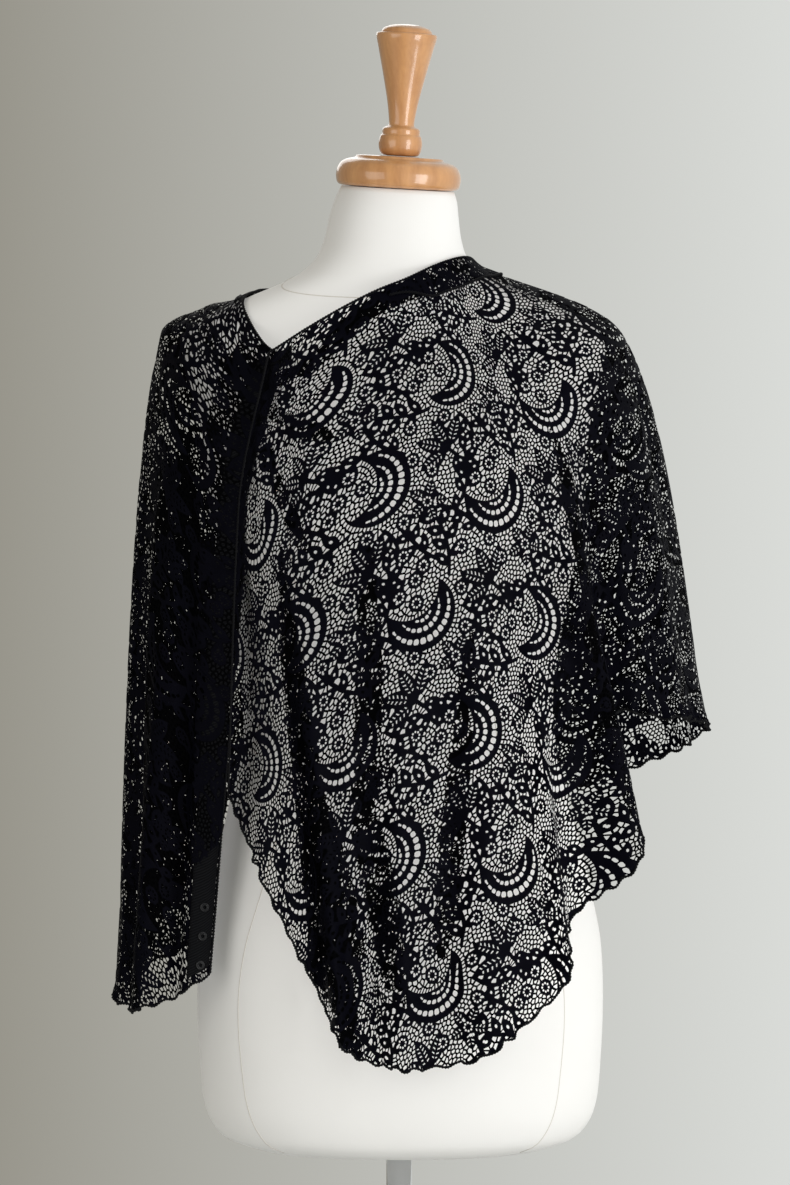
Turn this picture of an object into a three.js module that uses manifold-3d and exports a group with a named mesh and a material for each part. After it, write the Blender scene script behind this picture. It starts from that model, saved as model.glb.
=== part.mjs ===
// Lace shawl draped round a limbless dress form on a pole stand.
// Millimetres, +Z up, the front towards -Y, the origin on the floor under the pole.
import * as THREE from "three";
import { mergeVertices } from "three/addons/utils/BufferGeometryUtils.js";
import Module from "manifold-3d";

const wasm = await Module();
wasm.setup();

// Driving dimensions: the cloth
const LACE_WALL = 1.2;
const TAPE_WALL = 1.0;
const SEAM_GAP = 0.3;
const REST_GAP = 1.2;
// The turned-over top edge runs between two sections and narrows towards both.
const NECK_FOLD = { from: 4.4, to: 18.6, width: 26, narrow: 0.35, taper: 2, lift: 0.5 };
// The woven tape lies between two sections at the lace's end and stops short of its hem.
const SNAP_TAPE = { from: 20.13, to: 20.88, lift: 0.5, aboveHem: 8 };
const CORNER_TAPE = { width: 19, height: 11, drop: 4, inset: 4, lift: 0.6 };
// A press stud: its ring, with a flat top between two radii above a shoulder, and its place on the tape.
const STUD = { radius: 4, height: 1.4, bore: 1.3, shoulder: 0.84, topOuter: 3.2, topInner: 1.95, lift: 0.5 };
const STUD_ROW = { pitch: 24, firstAbove: 2, count: 3 };

// Driving dimensions: the form and its stand
const FORM_BOTTOM = 435;
const FORM_SQUARENESS = 2.25;
// The neck's top leans to the side and slopes down to the front, from this rise upwards.
const NECK_LEAN = { side: THREE.MathUtils.degToRad(3.4), front: THREE.MathUtils.degToRad(7), from: 745 };
const POLE = { radius: 10.8, intoForm: 70, clearance: 0.3 };
const BASE = { radius: 160, edge: 6, crown: 12, bossRadius: 24, bossTop: 42, floorOfBore: 4 };
// The broken edges of the base: in from a rim or out from the boss, and up.
const BASE_EDGES = {
  foot: { across: 1, up: 1.5 },
  rim: { across: 4, up: 2 },
  cove: { across: 8, up: 4 },
  boss: { across: 2, up: 2 },
};
// Sides of the round bodies.
const SIDES = { stud: 10, form: 34, neckCap: 32, finial: 24, base: 48, pole: 24 };
const WELD = 1e-4;

// Outlines of the turned neck block, radius and height, each from its own underside.
const NECK_CAP = [
  [0, 0],
  [49, 0],
  [52.5, 3],
  [53.5, 9],
  [53, 14],
  [50, 20],
  [45, 23],
  [37.5, 24.5],
  [37, 27],
  [0, 27],
];
const FINIAL = [
  [0, 0],
  [15.5, 0],
  [18, 5],
  [18.8, 11],
  [17.5, 17],
  [16, 18],
  [16, 23],
  [13, 24.5],
  [10.3, 26],
  [13, 45],
  [18.5, 70],
  [24, 92],
  [25.5, 97],
  [25.5, 102],
  [22, 105.5],
  [12, 109.5],
  [0, 111],
];

// Sections of the form: rise above its underside, half width, depth to the front and to the back,
// and how far its middle stands to the side.
const FORM_SECTIONS = [
  { rise: 0, half: 120, front: 78, back: 92, side: 1 },
  { rise: 8, half: 146, front: 92, back: 108, side: 1 },
  { rise: 20, half: 159, front: 99, back: 116, side: 1 },
  { rise: 38, half: 166.5, front: 104, back: 122, side: 1 },
  { rise: 68, half: 170, front: 107, back: 125, side: 1 },
  { rise: 125, half: 172.5, front: 108, back: 128, side: 1 },
  { rise: 175, half: 170.5, front: 107, back: 125, side: 1 },
  { rise: 210, half: 164, front: 105, back: 117, side: 1 },
  { rise: 252, half: 154.5, front: 102, back: 106, side: 1 },
  { rise: 293, half: 144, front: 98, back: 95, side: 0 },
  { rise: 340, half: 133.5, front: 95, back: 87, side: 0 },
  { rise: 385, half: 132, front: 100, back: 84, side: -1 },
  { rise: 435, half: 138, front: 114, back: 86, side: -1 },
  { rise: 485, half: 149, front: 131, back: 91, side: -2 },
  { rise: 515, half: 155, front: 136, back: 95, side: -2 },
  { rise: 550, half: 160, front: 130, back: 99, side: -3 },
  { rise: 595, half: 163, front: 112, back: 103, side: -3 },
  { rise: 635, half: 170, front: 92, back: 103, side: -4 },
  { rise: 665, half: 178, front: 76, back: 98, side: -4 },
  { rise: 682, half: 180, front: 67, back: 91, side: -5 },
  { rise: 694, half: 174, front: 62, back: 85, side: -5 },
  { rise: 706, half: 157, front: 60, back: 80, side: -5 },
  { rise: 721, half: 125, front: 58, back: 75, side: -6 },
  { rise: 734, half: 94, front: 57, back: 70, side: -6 },
  { rise: 742, half: 79, front: 56, back: 67, side: -6 },
  { rise: 755, half: 65, front: 55, back: 63, side: -6 },
  { rise: 771, half: 58.5, front: 54, back: 60, side: -5 },
  { rise: 790, half: 55, front: 53, back: 57, side: -4 },
  { rise: 806, half: 51.5, front: 50, back: 52, side: -2 },
  { rise: 815, half: 48, front: 47, back: 49, side: -1 },
];

// Sections of the shawl, from its free front edge round by the right and the back to its other end:
// a point on the neckline, one on the crest where the cloth leaves the form, and one on the hem.
const SHAWL_SECTIONS = [
  { at: "front edge", neck: [-108, -88, 1104], crest: [-132, -103, 975], hem: [-140, -116, 740] },
  { at: "front left", neck: [-97, -88, 1111], crest: [-109, -120, 955], hem: [-93, -130, 634] },
  { at: "left corner", neck: [-79, -84, 1123], crest: [-73, -135, 948], hem: [-44, -138, 538] },
  { at: "front dip", neck: [-51, -78, 1140], crest: [-31, -143, 945], hem: [1, -141, 520] },
  { at: "front middle", neck: [-21, -72, 1156], crest: [14, -143, 947], hem: [66, -140, 529] },
  { at: "front right", neck: [5, -66, 1167], crest: [60, -139, 954], hem: [131, -131, 584] },
  { at: "right notch", neck: [19, -60, 1174], crest: [88, -131, 966], hem: [141, -127, 636] },
  { at: "right corner", neck: [31, -52, 1180], crest: [113, -119, 982], hem: [191, -106, 688] },
  { at: "under the arm", neck: [43, -40, 1184], crest: [145, -92, 1030], hem: [177, -82, 798] },
  { at: "right front", neck: [54, -22, 1186], crest: [174, -57, 1090], hem: [221, -60, 801] },
  { at: "right side", neck: [62, 0, 1186], crest: [189, 0, 1127], hem: [262, -2, 794] },
  { at: "right back", neck: [59, 28, 1185], crest: [179, 47, 1109], hem: [254, 55, 776] },
  { at: "back right", neck: [45, 52, 1183], crest: [137, 88, 1075], hem: [195, 98, 748] },
  { at: "right of back", neck: [18, 70, 1179], crest: [69, 106, 1055], hem: [99, 130, 712] },
  { at: "back middle", neck: [-18, 76, 1175], crest: [-1, 112, 1048], hem: [-1, 140, 678] },
  { at: "left of back", neck: [-54, 72, 1171], crest: [-71, 106, 1056], hem: [-106, 128, 638] },
  { at: "back left", neck: [-86, 55, 1167], crest: [-141, 86, 1080], hem: [-191, 85, 600] },
  { at: "left back", neck: [-109, 28, 1166], crest: [-189, 42, 1115], hem: [-235, 38, 575] },
  { at: "left side", neck: [-123, 0, 1161], crest: [-202, -8, 1126], hem: [-241, -12, 562] },
  { at: "left front", neck: [-129, -35, 1143], crest: [-179, -58, 1085], hem: [-221, -62, 557] },
  { at: "left end", neck: [-113, -72, 1114], crest: [-146, -84, 1030], hem: [-181, -84, 575] },
  { at: "end edge", neck: [-97, -82, 1102], crest: [-119, -88, 1005], hem: [-157, -80, 590] },
];

// Folds, ridges out and troughs in: where each lies at the crest and at the hem and its half width,
// counted in shawl sections, its depth at the hem, and the share of the drop at which it starts.
const FOLDS = [
  { crest: 0.55, hem: 0.7, half: 0.3, depth: 7, start: 0.3 },
  { crest: 1.15, hem: 1.5, half: 0.34, depth: -13, start: 0.2 },
  { crest: 1.6, hem: 1.98, half: 0.32, depth: 14, start: 0.2 },
  { crest: 3.2, hem: 2.55, half: 0.42, depth: -11, start: 0.25 },
  { crest: 3.75, hem: 3.05, half: 0.36, depth: 14, start: 0.25 },
  { crest: 4.7, hem: 3.6, half: 0.36, depth: -9, start: 0.3 },
  { crest: 5.2, hem: 4.1, half: 0.4, depth: 11, start: 0.35 },
  { crest: 7.1, hem: 5.25, half: 0.6, depth: 14, start: 0.25 },
  { crest: 7.45, hem: 6.3, half: 0.5, depth: -12, start: 0.25 },
  { crest: 8.0, hem: 7.0, half: 0.45, depth: 14, start: 0.25 },
  { crest: 8.5, hem: 8.1, half: 0.5, depth: -14, start: 0.25 },
  { crest: 9.3, hem: 9.2, half: 0.42, depth: 9, start: 0.35 },
  { crest: 10.9, hem: 10.7, half: 0.42, depth: -9, start: 0.4 },
  { crest: 11.6, hem: 11.5, half: 0.45, depth: 9, start: 0.4 },
  { crest: 12.7, hem: 12.6, half: 0.5, depth: -14, start: 0.3 },
  { crest: 13.5, hem: 13.4, half: 0.46, depth: 15, start: 0.3 },
  { crest: 14.4, hem: 14.5, half: 0.5, depth: -15, start: 0.3 },
  { crest: 15.2, hem: 15.3, half: 0.46, depth: 15, start: 0.3 },
  { crest: 16.1, hem: 16.2, half: 0.46, depth: -13, start: 0.3 },
  { crest: 16.8, hem: 16.8, half: 0.38, depth: 12, start: 0.3 },
  { crest: 17.5, hem: 17.4, half: 0.36, depth: -12, start: 0.25 },
  { crest: 18.5, hem: 18.6, half: 0.36, depth: -15, start: 0.25 },
  { crest: 19.1, hem: 19.2, half: 0.34, depth: 11, start: 0.25 },
  { crest: 19.7, hem: 19.75, half: 0.34, depth: -13, start: 0.25 },
];

// Stretches of the one length of lace: first and last section, and steps round, over to the crest and down.
const STRETCHES = [
  { name: "shawl_front", from: 0, to: 7.62, around: 29, over: 5, down: 14 },
  { name: "shawl_right", from: 7.62, to: 11.6, around: 17, over: 5, down: 10 },
  { name: "shawl_back", from: 11.6, to: 16.4, around: 17, over: 5, down: 11 },
  { name: "shawl_left", from: 16.4, to: 21, around: 18, over: 5, down: 13 },
];

// Rows below the crest start close together and spread by this power.
const ROW_SPREAD = 1.25;

// The lace's flat development is a ring sector; its repeat is laid out on that flat cloth.
const NECK_RADIUS_FLAT = 330;
const REPEAT = { across: 112, down: 196 };
// Crescents in one repeat: place in it, tilt and hand.
const CRESCENTS = [
  { across: 30, down: 46, tilt: -0.45, hand: 1 },
  { across: 86, down: 144, tilt: 0.45, hand: -1 },
];
// The outer ladder of a crescent: inner radius, greatest width, angle from one gap to the next,
// bar between gaps, and how many of its widest gaps are cut right through the wall.
const LADDER = { radius: 25.8, width: 5.2, step: 0.205, bar: 1.2, cut: 2, reach: 1.66 };
const EDGE_MARGIN = 9;
const END_SECTION = SHAWL_SECTIONS.length - 1;
const FORM_TOP = FORM_SECTIONS[FORM_SECTIONS.length - 1];

const MATERIALS = {
  lace: new THREE.MeshStandardMaterial({ color: 0x0b0c12, roughness: 0.72 }),
  tape: new THREE.MeshStandardMaterial({ color: 0x1c1d22, roughness: 0.85 }),
  stud: new THREE.MeshStandardMaterial({ color: 0x121317, roughness: 0.35 }),
  jersey: new THREE.MeshStandardMaterial({ color: 0xe6e3dd, roughness: 0.9 }),
  wood: new THREE.MeshStandardMaterial({ color: 0xb87a3e, roughness: 0.3 }),
  chrome: new THREE.MeshStandardMaterial({ color: 0xc9ccd0, roughness: 0.12, metalness: 1 }),
};

// Curves and small sums

function smoothstep(low, high, value) {
  return THREE.MathUtils.smoothstep(value, low, high);
}

// A smooth curve through a table's rows: the value of one column at a place along another.
function columnAt(rows, along, column, place) {
  let i = 0;
  while (i < rows.length - 2 && rows[i + 1][along] < place) i += 1;
  const slope = (k) => {
    const a = rows[Math.max(k - 1, 0)];
    const b = rows[Math.min(k + 1, rows.length - 1)];
    return (b[column] - a[column]) / (b[along] - a[along]);
  };
  const span = rows[i + 1][along] - rows[i][along];
  const t = THREE.MathUtils.clamp((place - rows[i][along]) / span, 0, 1);
  return hermite(rows[i][column], slope(i) * span, rows[i + 1][column], slope(i + 1) * span, t);
}

function hermite(start, leave, end, arrive, t) {
  const t2 = t * t;
  const t3 = t2 * t;
  return (
    start * (2 * t3 - 3 * t2 + 1) + leave * (t3 - 2 * t2 + t) + end * (3 * t2 - 2 * t3) + arrive * (t3 - t2)
  );
}

// A smooth curve round the shawl: neck, crest or hem point at a fractional section number.
function sectionPoint(line, section) {
  const i = Math.min(Math.floor(section), END_SECTION - 1);
  const t = section - i;
  const row = (k) => SHAWL_SECTIONS[THREE.MathUtils.clamp(k, 0, END_SECTION)][line];
  const [a, b, c, d] = [row(i - 1), row(i), row(i + 1), row(i + 2)];
  const axis = (n) => hermite(b[n], (c[n] - a[n]) / 2, c[n], (d[n] - b[n]) / 2, t);
  return new THREE.Vector3(axis(0), axis(1), axis(2));
}

// The form

function formDepths(rise) {
  return {
    half: columnAt(FORM_SECTIONS, "rise", "half", rise),
    front: columnAt(FORM_SECTIONS, "rise", "front", rise),
    back: columnAt(FORM_SECTIONS, "rise", "back", rise),
    side: columnAt(FORM_SECTIONS, "rise", "side", rise),
  };
}

function formRing(rise, turn) {
  const { half, front, back, side } = formDepths(rise);
  const power = 2 / FORM_SQUARENESS;
  const x = half * Math.sign(Math.cos(turn)) * Math.abs(Math.cos(turn)) ** power;
  const depth = Math.sin(turn) < 0 ? front : back;
  const y = depth * Math.sign(Math.sin(turn)) * Math.abs(Math.sin(turn)) ** power;
  const leaning = smoothstep(NECK_LEAN.from, FORM_TOP.rise, rise);
  const slope = y * Math.tan(NECK_LEAN.front) - x * Math.tan(NECK_LEAN.side);
  return new THREE.Vector3(side + x, y, FORM_BOTTOM + rise + slope * leaning);
}

// Below zero inside the form, zero on it, above zero outside.
function formLevel(point) {
  const { half, front, back, side } = formDepths(point.z - FORM_BOTTOM);
  const across = Math.abs(point.x - side) / half;
  const deep = Math.abs(point.y) / (point.y < 0 ? front : back);
  return (across ** FORM_SQUARENESS + deep ** FORM_SQUARENESS) ** (1 / FORM_SQUARENESS) - 1;
}

// Moves a point straight out of the form until it is the given distance clear of it.
function pushClear(point, clearance) {
  const probe = 0.5;
  const passes = 5;
  for (let pass = 0; pass < passes; pass += 1) {
    const level = formLevel(point);
    const slope = ["x", "y", "z"].map((axis) => {
      const moved = point.clone();
      moved[axis] += probe;
      return (formLevel(moved) - level) / probe;
    });
    const outward = new THREE.Vector3(...slope);
    const steep = outward.length();
    const distance = level / steep;
    if (distance >= clearance) return point;
    point.addScaledVector(outward, (clearance - distance) / steep);
  }
  return point;
}

// Closed meshes

// Joins rings of equal count into a closed body, capped by fans at both ends.
function loft(rings) {
  const count = rings[0].length;
  const vertices = rings.flat();
  const triangles = [];
  for (let r = 0; r < rings.length - 1; r += 1) {
    for (let i = 0; i < count; i += 1) {
      const a = r * count + i;
      const b = r * count + ((i + 1) % count);
      triangles.push([a, b, b + count], [a, b + count, a + count]);
    }
  }
  const middle = (ring) => ring.reduce((sum, p) => sum.add(p), new THREE.Vector3()).divideScalar(count);
  const low = vertices.push(middle(rings[0])) - 1;
  const high = vertices.push(middle(rings[rings.length - 1])) - 1;
  const top = (rings.length - 1) * count;
  for (let i = 0; i < count; i += 1) {
    const next = (i + 1) % count;
    triangles.push([low, next, i], [high, top + i, top + next]);
  }
  return closedGeometry(vertices, triangles);
}

// A wall between two grids of points that face each other, closed round its rim.
function wallBetween(outer, inner) {
  const rows = outer.length;
  const columns = outer[0].length;
  const size = rows * columns;
  const vertices = [...outer.flat(), ...inner.flat()];
  const triangles = [];
  for (let r = 0; r < rows - 1; r += 1) {
    for (let c = 0; c < columns - 1; c += 1) {
      const a = r * columns + c;
      const [b, d, e] = [a + 1, a + columns, a + columns + 1];
      triangles.push([a, d, e], [a, e, b]);
      triangles.push([size + a, size + e, size + d], [size + a, size + b, size + e]);
    }
  }
  const rim = [];
  for (let c = 0; c < columns - 1; c += 1) rim.push(c);
  for (let r = 0; r < rows - 1; r += 1) rim.push(r * columns + columns - 1);
  for (let c = columns - 1; c > 0; c -= 1) rim.push((rows - 1) * columns + c);
  for (let r = rows - 1; r > 0; r -= 1) rim.push(r * columns);
  rim.forEach((a, k) => {
    const b = rim[(k + 1) % rim.length];
    triangles.push([a, b, size + b], [a, size + b, size + a]);
  });
  return closedGeometry(vertices, triangles);
}

function closedGeometry(vertices, triangles) {
  const geometry = new THREE.BufferGeometry();
  const places = vertices.flatMap((p) => p.toArray());
  geometry.setAttribute("position", new THREE.Float32BufferAttribute(places, 3));
  geometry.setIndex(triangles.flat());
  return geometry;
}

// A turned body from its outline, given as radius and height from the axis back to the axis.
function turned(outline, sides) {
  const points = outline.map(([radius, height]) => new THREE.Vector2(radius, height));
  const geometry = new THREE.LatheGeometry(points, sides);
  geometry.rotateX(Math.PI / 2);
  geometry.deleteAttribute("normal");
  geometry.deleteAttribute("uv");
  return mergeVertices(geometry, WELD);
}

function solidOf(geometry) {
  return new wasm.Manifold(
    new wasm.Mesh({
      numProp: 3,
      vertProperties: new Float32Array(geometry.attributes.position.array),
      triVerts: new Uint32Array(geometry.index.array),
    }),
  );
}

function geometryOf(solid) {
  const mesh = solid.getMesh();
  const geometry = new THREE.BufferGeometry();
  geometry.setAttribute("position", new THREE.BufferAttribute(mesh.vertProperties, 3));
  geometry.setIndex(new THREE.BufferAttribute(mesh.triVerts, 1));
  return geometry;
}

// The drape

// Share of the drop at which a section passes its crest.
function crestDrop(section) {
  const crest = sectionPoint("crest", section);
  const upper = sectionPoint("neck", section).distanceTo(crest);
  return upper / (upper + crest.distanceTo(sectionPoint("hem", section)));
}

// The smooth hang of one section: along the form from neck to crest, then down to the hem.
function hang(section, drop) {
  const neck = sectionPoint("neck", section);
  const crest = sectionPoint("crest", section);
  const hem = sectionPoint("hem", section);
  const turn = crestDrop(section);
  const axis = (n) => {
    const rise = (crest[n] - neck[n]) / turn;
    const fall = (hem[n] - crest[n]) / (1 - turn);
    const middle = rise * fall > 0 ? (2 * rise * fall) / (rise + fall) : 0;
    if (drop < turn) return hermite(neck[n], rise * turn, crest[n], middle * turn, drop / turn);
    const rest = 1 - turn;
    return hermite(crest[n], middle * rest, hem[n], fall * rest, (drop - turn) / rest);
  };
  return new THREE.Vector3(axis("x"), axis("y"), axis("z"));
}

function foldDepth(section, drop) {
  return FOLDS.reduce((sum, fold) => {
    const place = THREE.MathUtils.lerp(fold.crest, fold.hem, drop);
    const off = Math.abs(section - place) / fold.half;
    if (off >= 1) return sum;
    const grown = smoothstep(fold.start, 1, drop);
    return sum + fold.depth * grown * Math.cos((off * Math.PI) / 2) ** 2;
  }, 0);
}

const SECTION_PROBE = 0.03;
const DROP_PROBE = 0.01;

// Outward direction of a surface given by section and drop.
function outwardOf(surface, section, drop) {
  const along = surface(Math.min(section + SECTION_PROBE, END_SECTION), drop);
  along.sub(surface(Math.max(section - SECTION_PROBE, 0), drop));
  const down = surface(section, Math.min(drop + DROP_PROBE, 1));
  down.sub(surface(section, Math.max(drop - DROP_PROBE, 0)));
  return down.cross(along).normalize();
}

// Middle of the lace wall.
function lace(section, drop) {
  const point = hang(section, drop);
  point.addScaledVector(outwardOf(hang, section, drop), foldDepth(section, drop));
  return pushClear(point, REST_GAP + LACE_WALL / 2);
}

// A point at a given height off the lace's middle, outwards.
function offLace(section, drop, height) {
  return lace(section, drop).addScaledVector(outwardOf(lace, section, drop), height);
}

// A wall over a patch of the lace: its sections and drops, the heights of its two faces,
// and which of its first and last columns meet another stretch at a seam.
function patch(sections, dropsAt, low, high, seams = { first: false, last: false }) {
  const steps = dropsAt(sections[0]).length;
  const rowAt = (r, height) => {
    const row = sections.map((section) => offLace(section, dropsAt(section)[r], height));
    if (seams.first) drawBack(row[0], row[1]);
    if (seams.last) drawBack(row[row.length - 1], row[row.length - 2]);
    return row;
  };
  const grid = (height) => Array.from({ length: steps }, (_, r) => rowAt(r, height));
  return wallBetween(grid(high), grid(low));
}

// Moves an edge point half a seam gap towards its neighbour inside the piece.
function drawBack(point, neighbour) {
  point.addScaledVector(neighbour.clone().sub(point).normalize(), SEAM_GAP / 2);
}

function evenSteps(from, to, count) {
  return Array.from({ length: count + 1 }, (_, i) => from + ((to - from) * i) / count);
}

// Length of one section's hang, from the neckline to a drop.
function lengthDown(section, drop) {
  const steps = 24;
  const points = evenSteps(0, drop, steps).map((d) => lace(section, d));
  return points.slice(1).reduce((sum, p, i) => sum + p.distanceTo(points[i]), 0);
}

// The flat development

// Tables of the lace's length round and down, from which flat places are found on the drape.
const CHART_STEP = 0.1;
const CHART_ROWS = 40;
const chart = evenSteps(0, END_SECTION, END_SECTION / CHART_STEP).map((section) => {
  const points = evenSteps(0, 1, CHART_ROWS).map((drop) => lace(section, drop));
  const down = [0];
  points.slice(1).forEach((p, i) => down.push(down[i] + p.distanceTo(points[i])));
  return { section, points, down };
});
chart.forEach((column, i) => {
  if (i === 0) {
    column.turn = 0;
    return;
  }
  const before = chart[i - 1];
  const middle = CHART_ROWS / 2;
  const radius = NECK_RADIUS_FLAT + (column.down[middle] + before.down[middle]) / 2;
  column.turn = before.turn + column.points[middle].distanceTo(before.points[middle]) / radius;
});
const FULL_TURN = chart[chart.length - 1].turn;

// Section and drop of a place on the flat cloth, or nothing where the cloth doesn't reach.
function fromFlat(across, down) {
  const turn = Math.atan2(across, down) + FULL_TURN / 2;
  const length = Math.hypot(across, down) - NECK_RADIUS_FLAT;
  const i = chart.findIndex((column) => column.turn > turn);
  if (i < 1 || length < 0) return null;
  const [a, b] = [chart[i - 1], chart[i]];
  const part = (turn - a.turn) / (b.turn - a.turn);
  const section = THREE.MathUtils.lerp(a.section, b.section, part);
  const downAt = (r) => THREE.MathUtils.lerp(a.down[r], b.down[r], part);
  const r = Array.from({ length: CHART_ROWS + 1 }, (_, k) => k).findIndex((k) => downAt(k) > length);
  if (r < 1) return null;
  const drop = (r - 1 + (length - downAt(r - 1)) / (downAt(r) - downAt(r - 1))) / CHART_ROWS;
  return { section, drop, length, total: downAt(CHART_ROWS) };
}

// Flat places of the centres of every crescent that may lie on the cloth.
function crescentPlaces() {
  const reach = NECK_RADIUS_FLAT + Math.max(...chart.map((column) => column.down[CHART_ROWS]));
  const columns = Math.ceil(reach / REPEAT.across);
  const rows = Math.ceil(reach / REPEAT.down);
  const places = [];
  for (let c = -columns; c <= columns; c += 1) {
    for (let r = -rows; r <= rows; r += 1) {
      CRESCENTS.forEach((crescent) => {
        const across = c * REPEAT.across + crescent.across;
        places.push({ ...crescent, across, down: r * REPEAT.down + crescent.down });
      });
    }
  }
  return places;
}

// Flat corners of one gap of a crescent's outer ladder; gap 0 is the widest, at the foot of the crescent.
function ladderGap(crescent, gap) {
  const middle = gap * LADDER.step;
  const width = LADDER.width * Math.cos((middle / LADDER.reach) * (Math.PI / 2));
  const half = LADDER.step / 2 - LADDER.bar / (2 * LADDER.radius);
  const corner = (angle, radius) => {
    const turn = crescent.hand * angle + crescent.tilt;
    return [crescent.across + radius * Math.sin(turn), crescent.down + radius * Math.cos(turn)];
  };
  const far = LADDER.radius + width;
  return [
    corner(middle - half, LADDER.radius),
    corner(middle + half, LADDER.radius),
    corner(middle + half, far),
    corner(middle - half, far),
  ];
}

// The widest gaps of every crescent that lies well inside one stretch, as places on the drape.
function gapsOf(stretch) {
  const first = -(LADDER.cut - 1) / 2;
  const gaps = [];
  crescentPlaces().forEach((crescent) => {
    evenSteps(first, -first, LADDER.cut - 1).forEach((gap) => {
      const places = ladderGap(crescent, gap).map(([across, down]) => fromFlat(across, down));
      if (places.every((p) => p && insideStretch(p, stretch))) gaps.push(places);
    });
  });
  return gaps;
}

function insideStretch(place, stretch) {
  const { section, drop, length, total } = place;
  const step = 0.05;
  const reach = (EDGE_MARGIN * 2 * step) / lace(section - step, drop).distanceTo(lace(section + step, drop));
  const round = section > stretch.from + reach && section < stretch.to - reach;
  return round && length > NECK_FOLD.width + EDGE_MARGIN && length < total - EDGE_MARGIN;
}

// A short straight prism through the wall, over four places on the drape.
function gapCutter(places) {
  const through = 5;
  const middle = (key) => places.reduce((sum, place) => sum + place[key], 0) / places.length;
  const outward = outwardOf(lace, middle("section"), middle("drop"));
  const level = (height) => places.map((p) => lace(p.section, p.drop).addScaledVector(outward, height));
  const cutter = solidOf(loft([level(-through), level(through)]));
  return cutter.volume() > 0 ? cutter : solidOf(loft([level(through), level(-through)]));
}

// The pieces of the shawl

function mesh(name, geometry, material) {
  const piece = new THREE.Mesh(geometry, material);
  piece.name = name;
  return piece;
}

// Sections of a stretch's columns. The last stretch has columns at the tape's two edges and middle.
function stretchSections({ from, to, around }) {
  if (to < END_SECTION) return evenSteps(from, to, around);
  const tape = evenSteps(SNAP_TAPE.from, SNAP_TAPE.to, 2);
  return [...evenSteps(from, SNAP_TAPE.from, around), ...tape.slice(1), END_SECTION];
}

// Drops across the turned-over top edge, which narrows towards both of its ends.
function neckDrops(section) {
  const { from, to, width, narrow, taper } = NECK_FOLD;
  const full = smoothstep(from, from + taper, section) * (1 - smoothstep(to - taper, to, section));
  return evenSteps(0, (width * THREE.MathUtils.lerp(narrow, 1, full)) / lengthDown(section, 1), 1);
}

// Drops of a stretch's rows: the turned-over edge, on to the crest, then wider apart down to the hem.
function rowDrops(section, { over, down }) {
  const top = neckDrops(section);
  const crest = crestDrop(section);
  const upper = evenSteps(top[top.length - 1], crest, over).slice(1);
  const lower = evenSteps(0, 1, down).slice(1);
  return [...top, ...upper, ...lower.map((share) => crest + (1 - crest) * share ** ROW_SPREAD)];
}

function shawlStretch(stretch) {
  const drops = (section) => rowDrops(section, stretch);
  const seams = { first: stretch.from > 0, last: stretch.to < END_SECTION };
  const whole = patch(stretchSections(stretch), drops, -LACE_WALL / 2, LACE_WALL / 2, seams);
  const cut = gapsOf(stretch).reduce((solid, places) => solid.subtract(gapCutter(places)), solidOf(whole));
  return mesh(stretch.name, geometryOf(cut), MATERIALS.lace);
}

// The top edge turned over once, from the front round the neck to the far shoulder.
function neckFold() {
  const { from, to, lift } = NECK_FOLD;
  const inside = STRETCHES.flatMap(stretchSections).filter((section) => section > from && section < to);
  const columns = [...new Set(inside)];
  const low = LACE_WALL / 2 + lift;
  return mesh("neck_fold", patch(columns, neckDrops, low, low + LACE_WALL), MATERIALS.lace);
}

// The woven tape sewn down the end of the left stretch, on its outer face.
function snapTape() {
  const { from, to, lift, aboveHem } = SNAP_TAPE;
  const stretch = STRETCHES[STRETCHES.length - 1];
  const drops = (section) => {
    const rows = rowDrops(section, stretch).slice(1);
    rows[rows.length - 1] = 1 - aboveHem / lengthDown(section, 1);
    return rows;
  };
  const low = LACE_WALL / 2 + lift;
  return mesh("snap_tape", patch(evenSteps(from, to, 2), drops, low, low + TAPE_WALL), MATERIALS.tape);
}

// Press studs up the middle of the tape, from its lower end.
function studs() {
  const { radius, bore, height, shoulder, topOuter, topInner, lift } = STUD;
  const { pitch, firstAbove, count } = STUD_ROW;
  const outline = [
    [bore, 0],
    [radius, 0],
    [radius, shoulder],
    [topOuter, height],
    [topInner, height],
    [bore, shoulder],
    [bore, 0],
  ];
  const section = (SNAP_TAPE.from + SNAP_TAPE.to) / 2;
  const total = lengthDown(section, 1);
  return Array.from({ length: count }, (_, i) => {
    const drop = 1 - (SNAP_TAPE.aboveHem + firstAbove + radius + i * pitch) / total;
    const stud = mesh(`stud_${i + 1}`, turned(outline, SIDES.stud), MATERIALS.stud);
    stud.position.copy(offLace(section, drop, LACE_WALL / 2 + SNAP_TAPE.lift + TAPE_WALL + lift));
    const outward = outwardOf(lace, section, drop);
    stud.quaternion.setFromUnitVectors(new THREE.Vector3(0, 0, 1), outward);
    return stud;
  });
}

// The end of the matching tape behind the front corner, where the two ends are snapped together.
function cornerTape() {
  const { width, height, drop, inset, lift } = CORNER_TAPE;
  const total = lengthDown(0, 1);
  const drops = evenSteps(drop / total, (drop + height) / total, 1);
  const high = -LACE_WALL / 2 - lift;
  const row = (at, off) =>
    [inset, inset + width / 2, inset + width].map((along) => offLace(sectionAfterEdge(at, along), at, off));
  const grid = (off) => drops.map((at) => row(at, off));
  return mesh("corner_tape", wallBetween(grid(high), grid(high - TAPE_WALL)), MATERIALS.tape);
}

// Section at a given length in from the free front edge, measured along the lace at one drop.
function sectionAfterEdge(drop, length) {
  const step = 0.05;
  let section = 0;
  let left = length;
  while (left > 0) {
    const piece = lace(section, drop).distanceTo(lace(section + step, drop));
    section += step * Math.min(1, left / piece);
    left -= piece;
  }
  return section;
}

// The form and its stand

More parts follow.
